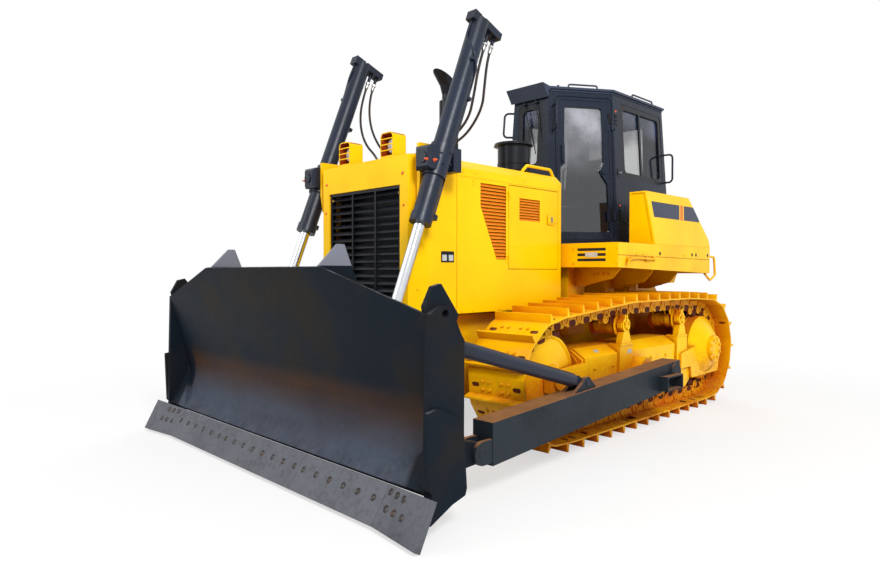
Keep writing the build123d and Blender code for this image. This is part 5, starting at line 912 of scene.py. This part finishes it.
def hood_bulkhead():
    """The sheet that closes the hood's rear end, up to the hood's underside, with a seam down its middle."""
    roof = [Vector((BULKHEAD_X, y / 10, land("hood_top", (-0.2, y / 10, 1.9), UP)[0].z - 0.004))
            for y in range(6, -7, -1)]
    x, y = BULKHEAD_X, BULKHEAD_HALF
    bm = bmesh.new()
    foot, corner = BULKHEAD_FOOT, HOOD_CORNER
    slab(bm, [(x, -y, foot), (x, y, foot), (x, y, corner), *roof, (x, -y, corner)], BACK, 0.004)
    plate(bm, (-0.199, 0, 2.0), LEFT, UP, (0.05, 0.55, 0.01), BACK, 0.007, 0.002)
    for side, _ in SIDES:
        for z in (1.76, 1.95, 2.14):
            for y in (0.58, 0.06):
                dome_bolt(bm, Vector((-0.2, side * y, z)), BACK, 0.0095)
    piece("hood_bulkhead", bm, hood_paint)


def wiper(name, pivot_y, tip_y):
    """An arm from its pivot over the windscreen to a blade that lies on the glass."""
    top, normal = land("cab_windows", (1, pivot_y * 0.6, 3.15), BACK)
    low, _ = land("cab_windows", (1, tip_y, 2.85), BACK)
    along = (low - top).normalized()
    arms, blades = bmesh.new(), bmesh.new()
    base = Vector((top.x + 0.03, pivot_y, 3.205))
    knee = base.lerp(low, 0.55) + normal * 0.024
    tube(arms, [base, base.lerp(knee, 0.4) + normal * 0.006, knee, low + normal * 0.022 - along * 0.02],
         0.0052, 10)
    lathe(arms, base - normal * 0.02, normal, [
        (0.014, 0), (0.014, 0.02), (0.017, 0.022), (0.017, 0.032), (0.012, 0.037), (0, 0.037)], 18)
    mid = low + normal * 0.016
    bow = normal * 0.006
    tube(arms, [mid - along * 0.11, mid - along * 0.05 + bow, mid + along * 0.05 + bow, mid + along * 0.11],
         0.0036, 8)
    tube(blades, [low + normal * 0.0075 + along * k for k in (-0.2, -0.1, 0, 0.1, 0.19)], 0.005, 8)
    piece(name + "_arm", arms, black_paint)
    piece(name + "_blade", blades, seal)


hood_bulkhead()
wiper("wiper_left", 0.075, 0.15)
wiper("wiper_right", -0.075, 0.03)

# folding steps on the platform's skirt: x and z along the bent rod, and of its three brackets
STEP_ROD = [
    (-0.965, 1.562), (-0.93, 1.556), (-0.86, 1.552), (-0.64, 1.562), (-0.5, 1.556), (-0.45, 1.54),
    (-0.428, 1.515), (-0.424, 1.485)]
STEP_BRACKETS = [(-0.462, 1.545), (-0.8, 1.554), (-0.95, 1.56)]
for side, hand in SIDES:
    bm = bmesh.new()
    tube(bm, [(x, side * 1.22, z) for x, z in STEP_ROD], 0.008, 12)
    for x, z in STEP_BRACKETS:
        spot, normal = from_side("platform", side, x, z)
        plate(bm, spot, AHEAD, UP, (0.04, 0.044, 0.006), normal, 0.0135, 0.002)
        hex_bolt(bm, spot + normal * 0.013 - UP * 0.013, normal, 0.0065)
    piece("skirt_step_" + hand, bm, frame_paint)

# ---- seat
SEAT_TILT = math.atan2(0.075, 0.61)
PAD_STEPS = 44                # grid of a pad's face, closer to its rim
PINCH = 0.035                 # share by which a pad's sides draw in between its corners
SEAM_WIDTH, SEAM_DEPTH, WELT_DEPTH = 0.007, 0.008, 0.009
WELT_AT = 0.66                # where the lengthwise welts run, as a share of the half width


def dip(distance, width):
    """A rounded groove or ridge: 1 in its middle, near 0 two widths away."""
    return math.exp(-(distance / width) ** 2)


def pad(name, centre, along, half_long, half_wide, half_thick, seams, bolster):
    """A crowned cushion with its sides drawn in between the corners and sewn channels across it."""
    along = Vector(along).normalized()
    up = along.cross(LEFT).normalized()
    turns = [math.sin(math.pi * (k / PAD_STEPS - 0.5)) for k in range(PAD_STEPS + 1)]
    bm, sheets = bmesh.new(), []
    for face in (1, -1):
        grid = []
        for i, u in enumerate(turns):
            line = []
            for j, v in enumerate(turns):
                body = ((1 - abs(u) ** 5) * (1 - abs(v) ** 5)) ** 0.42
                x = half_long * u * (1 - PINCH * (1 - v * v) * u * u)
                y = half_wide * v * (1 - PINCH * (1 - u * u) * v * v)
                z = half_thick * body * (0.78 + 0.22 * (1 - u * u) * (1 - v * v))
                if face > 0:
                    z += half_thick * bolster * body * dip(abs(v) - 0.78, 0.16)
                    for seam in seams:
                        z -= SEAM_DEPTH * body * dip((u - seam) * half_long, SEAM_WIDTH) * (abs(v) < WELT_AT)
                    z -= WELT_DEPTH * body * dip((abs(v) - WELT_AT) * half_wide, SEAM_WIDTH)
                rim = i in (0, PAD_STEPS) or j in (0, PAD_STEPS)
                if rim and face < 0:
                    line.append(sheets[0][i][j])
                else:
                    lift = up * (0 if rim else face * z)
                    line.append(bm.verts.new(Vector(centre) + along * x + LEFT * y + lift))
            grid.append(line)
        sheets.append(grid)
        for a, b in zip(grid, grid[1:]):
            for j in range(PAD_STEPS):
                bm.faces.new((a[j], b[j], b[j + 1], a[j + 1]))
    made = piece(name, bm, vinyl, "root", 80)
    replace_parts(made, "seat")


pad("seat_cushion", (-1.548, 0, 2.146), AHEAD, 0.262, 0.252, 0.056, (-0.45, 0.0, 0.45), 0.16)
pad("seat_back", (-1.772, 0, 2.478), (math.sin(SEAT_TILT), 0, -math.cos(SEAT_TILT)), 0.292, 0.236, 0.046,
    (-0.6, -0.25, 0.15, 0.55), 0.2)

# the bellows between floor and seat, as rounded outlines: z, width, length and corner
FOLDS = 21
FOLD_OUT, FOLD_IN = (0.31, 0.34, 0.04), (0.27, 0.3, 0.04)
bellows = [(1.745, 0.35, 0.385, 0.02), (1.77, 0.35, 0.385, 0.02), (1.772, 0.27, 0.3, 0.03)]
bellows += [(1.785 + 0.0115 * k, *(FOLD_OUT if k % 2 else FOLD_IN)) for k in range(FOLDS)]
bellows += [(2.04, 0.34, 0.37, 0.02), (2.07, 0.34, 0.37, 0.02)]
bm = bmesh.new()
loft(
    bm,
    [rounded_outline((-1.56, 0, z), AHEAD, LEFT, long, wide, corner) for z, wide, long, corner in bellows])
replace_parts(piece("seat_bellows", bm, seal, "root", 60), "seat")
bm = bmesh.new()
for y in (0.15, -0.15):
    tube(bm, [(-1.6, y, 2.083), (-1.74, y, 2.083), (-1.835, y, 2.16), (-1.845, y, 2.42)], 0.011, 10)
tube(bm, [(-1.845, -0.15, 2.4), (-1.845, 0.15, 2.4)], 0.009, 10)
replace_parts(piece("seat_frame", bm, dark_steel, "root"), "seat")

# ---- console
BOOT = [(0.046, -0.002), (0.046, 0.006), (0.038, 0.01), (0.034, 0.022), (0.037, 0.026), (0.028, 0.036),
        (0.031, 0.04), (0.022, 0.052), (0.025, 0.056), (0.016, 0.066), (0, 0.066)]
bm = bmesh.new()
for side, _ in SIDES:
    foot, _ = land("console", (-1.3, side * 0.43, 3.0), DOWN)
    lathe(bm, (-1.3, side * 0.395, min(foot.z, 2.31)), UP, BOOT, 24)
piece("lever_boots", bm, rubber)
spot, normal = land("console", (-1.3, 0, 2.36), AHEAD)
across = UP.cross(normal).normalized()
upward = normal.cross(across)
bm = bmesh.new()
plate(bm, spot, across, upward, (0.24, 0.13, 0.014), normal, 0.012, 0.003)
piece("monitor_case", bm, plastic)
bm = bmesh.new()
plate(bm, spot + normal * 0.0115, across, upward, (0.205, 0.098, 0.008), normal, 0.0012, 0.0006)
piece("monitor_screen", bm, seal)


# ---- stack, pre-cleaner and radiator cap
def middle_of(node, x, y, z):
    """Middle and radius of a round upright node at a height, from two lines through it."""
    front, _ = land(node, (x + 1, y, z), BACK)
    back, _ = land(node, (x - 1, y, z), AHEAD)
    return (front + back) / 2, (front.x - back.x) / 2


def band(bm, node, at, proud, high):
    """A clamp round an upright node: a strap with rolled edges, its two ears and its bolt."""
    centre, radius = middle_of(node, *at)
    inside, strap, lip = radius - 0.003, radius + proud * 0.6, radius + proud
    lathe(bm, centre - UP * high / 2, UP, [
        (inside, 0), (lip, 0.001), (lip, 0.003), (strap, 0.005), (strap, high - 0.005), (lip, high - 0.003),
        (lip, high - 0.001), (inside, high)], 40)
    ear = centre + LEFT * (lip + 0.005)
    for shift in (-0.008, 0.008):
        plate(bm, ear + AHEAD * shift, LEFT, UP, (0.022, high * 0.9, 0.003), AHEAD, 0.0025, 0.0006)
    lathe(bm, ear + Vector((-0.022, 0.003, 0)), AHEAD, [
        (0.0075, 0), (0.0075, 0.006), (0.0035, 0.0062), (0.0035, 0.036), (0.0065, 0.0362), (0.0065, 0.042),
        (0, 0.042)], 6)


bm = bmesh.new()
band(bm, "exhaust_stack", (0.65, 0, 2.52), 0.006, 0.028)
piece("stack_clamp", bm, steel)
bm = bmesh.new()
band(bm, "pre_cleaner", (0.02, 0.25, 2.33), 0.005, 0.022)
band(bm, "pre_cleaner", (0.02, 0.25, 2.46), 0.005, 0.018)
piece("pre_cleaner_bands", bm, black_paint)
bm = bmesh.new()
spot, _ = land("hood_top", (1.02, 0.0, 3.2), DOWN)
lathe(bm, spot, UP, [
    (0.075, -0.002), (0.075, 0.004), (0.07, 0.007), (0.052, 0.007), (0.052, 0.022), (0.048, 0.028),
    (0.02, 0.03), (0, 0.03)], 32)
plate(bm, spot + UP * 0.029, AHEAD, LEFT, (0.07, 0.016, 0.005), UP, 0.012, 0.002)
piece("radiator_cap", bm, hood_paint)

# ---- deck tread
TREAD_ROWS, TREAD_COLUMNS = 12, 14
TREAD_X, TREAD_Y = -0.3, 0.8             # front inner corner of each field
TREAD_STEP_X, TREAD_STEP_Y, TREAD_TURN = 0.052, 0.029, 0.6
DECK = 1.66                                # only what lies higher has tread


def turned(angle):
    """Two level directions at right angles, turned from forward and left."""
    return Vector((math.cos(angle), math.sin(angle), 0)), Vector((-math.sin(angle), math.cos(angle), 0))


bm = bmesh.new()
for side, _ in SIDES:
    for row in range(TREAD_ROWS):
        for column in range(TREAD_COLUMNS):
            x, y = TREAD_X - row * TREAD_STEP_X, side * (TREAD_Y + column * TREAD_STEP_Y)
            hit = land("platform", (x, y, 1.98), DOWN, False)
            if hit and hit[1].z > 0.99 and hit[0].z > DECK:
                turn = TREAD_TURN if (row + column) % 2 else -TREAD_TURN
                plate(bm, hit[0], *turned(turn), (0.03, 0.009, 0.0044), hit[1], 0.0022, 0.001, steps=2)
piece("deck_tread", bm, frame_paint)


# ---- rear
def from_behind(node, y, z):
    return land(node, (BEHIND, y, z), AHEAD)


studs("tank_bolts", hood_paint, [
    ("fuel_tank", "dome", 0.011, (BEHIND, 0.5, 1.97), AHEAD, along_y(0, -0.25, -0.5)),
    ("fuel_tank", "dome", 0.011, (BEHIND, 0.5, 1.37), AHEAD, along_y(0, -0.25, -0.5)),
    ("fuel_tank", "dome", 0.011, (BEHIND, 0.55, 1.5), AHEAD, along_z(0, 0.17, 0.34)),
])
studs("case_bolts", frame_paint, [
    ("rear_case", "hex", 0.015, (BEHIND, 0.42, 1.2), AHEAD, along_z(0, -0.15, -0.3, -0.45, -0.6)),
    ("rear_case", "hex", 0.015, (BEHIND, 0.28, 1.22), AHEAD, along_y(0, -0.14)),
])

COVER_CIRCLE = 0.108
spot, normal = from_behind("rear_case", 0.0, 1.02)
bm = bmesh.new()
lathe(bm, spot, normal, [
    (0.135, -0.002), (0.135, 0.01), (0.128, 0.014), (0.085, 0.014), (0.08, 0.024), (0.04, 0.028),
    (0, 0.028)], 40)
for k in range(8):
    turn = math.radians(45 * k + 22)
    across, up = COVER_CIRCLE * math.cos(turn), COVER_CIRCLE * math.sin(turn)
    hex_bolt(bm, spot + Vector((-0.013, across, up)), normal, 0.011)
piece("shaft_cover", bm, frame_paint)

bezels, lenses = bmesh.new(), bmesh.new()
for side, _ in SIDES:
    spot, normal = from_behind("fuel_tank", side * 0.5, 1.8)
    lathe(bezels, spot, normal, [
        (0.05, -0.002), (0.05, 0.016), (0.046, 0.02), (0.04, 0.02), (0.039, 0.012), (0, 0.012)], 32)
    lathe(lenses, spot + normal * 0.011, normal, [
        (0.0385, 0), (0.0385, 0.006), (0.03, 0.011), (0.015, 0.014), (0, 0.015)], 32)
piece("tail_lamp_bezels", bezels, black_paint)
piece("tail_lamp_lenses", lenses, red_glass)

bm = bmesh.new()
spot, _ = land("fuel_tank", (-2.5, 0.34, 3.0), DOWN)
lathe(bm, spot, UP, [
    (0.062, -0.002), (0.062, 0.012), (0.052, 0.014), (0.052, 0.034), (0.047, 0.041), (0.02, 0.043),
    (0, 0.043)], 32)
for k in range(3):
    plate(bm, spot + UP * 0.042, *turned(math.radians(120 * k)), (0.08, 0.012, 0.004), UP, 0.008, 0.002)
piece("tank_cap", bm, black_paint)

GAUGE_Y, GAUGE_ENDS, GAUGE_STEP = -0.34, (1.46, 1.74), 0.064
bm = bmesh.new()
for z in GAUGE_ENDS:
    spot, normal = from_behind("fuel_tank", GAUGE_Y, z)
    lathe(bm, spot, normal, [(0.013, -0.001), (0.013, 0.008), (0.009, 0.01), (0.009, 0.02), (0, 0.021)], 6)
piece("gauge_ends", bm, brass)
bm = bmesh.new()
tube(bm, [spot + normal * 0.013 - UP * (0.012 + k * GAUGE_STEP) for k in range(5)], 0.0062, 14)
piece("gauge_tube", bm, lamp_glass)


# ---- floor, world and lamps
FLOOR_REACH = 60.0
AMBIENT = 0.55                # the world's light on the machine, where what the camera sees of it is 1


def white_floor():
    """Pale and matt, with the object's shadow, and white further out where only the camera looks."""
    f = Finish("floor", rough=0.9, shine=0.1)
    away = f.add("VectorMath", {0: f.place}, "Value", operation="LENGTH")
    f.set(Base_Color=f.mix(f.noise(3, 4), (0.86, 0.86, 0.86, 1), (0.89, 0.89, 0.89, 1)))
    seen = f.add("LightPath", {}, "Is Camera Ray")
    glow = f.add("Emission", {"Color": (1, 1, 1, 1), "Strength": 1.0})
    share = f.times(f.span(away, 3.0, 6.5, 0.62, 1.0), seen)
    mixed = f.add("MixShader", {0: share, 1: f.shader.outputs[0], 2: glow})
    f.plug(f.tree.nodes["Material Output"].inputs["Surface"], mixed)
    return f.mat


bm = bmesh.new()
for x, y in ((-1, -1), (1, -1), (1, 1), (-1, 1)):
    bm.verts.new((x * FLOOR_REACH, y * FLOOR_REACH, 0))
bm.faces.new(bm.verts)
floor = piece("floor", bm, white_floor(), None)

world = bpy.data.worlds.new("world")
scene.world = world
world.use_nodes = True
sky = Tree(world.node_tree)
rays = sky.add("LightPath", {}).node.outputs
direct = sky.math("ADD", rays["Is Camera Ray"], rays["Is Glossy Ray"], use_clamp=True)
direct = sky.math("ADD", direct, rays["Is Transmission Ray"], use_clamp=True)
background = world.node_tree.nodes["Background"].inputs
sky.plug(background["Strength"], sky.plus(sky.times(direct, 1 - AMBIENT), AMBIENT))
background["Color"].default_value = (1, 1, 1, 1)


def lamp(name, at, aim, size, power):
    data = bpy.data.lights.new(name, "AREA")
    data.size = size
    data.energy = power
    ob = bpy.data.objects.new(name, data)
    ob.location = at
    ob.rotation_mode = "QUATERNION"
    ob.rotation_quaternion = (Vector(aim) - Vector(at)).to_track_quat("-Z", "Y")
    scene.collection.objects.link(ob)


lamp("key", (5.5, 9.0, 8.5), (-0.2, 0, 1.2), 3.0, 1200)
lamp("fill", (8.5, -3.5, 5.0), (0.5, 0, 1.2), 5.0, 230)
lamp("back", (-8.0, -5.0, 7.0), (-0.5, 0, 1.5), 5.0, 280)
scene.view_settings.view_transform = "Standard"

bpy.context.view_layer.update()
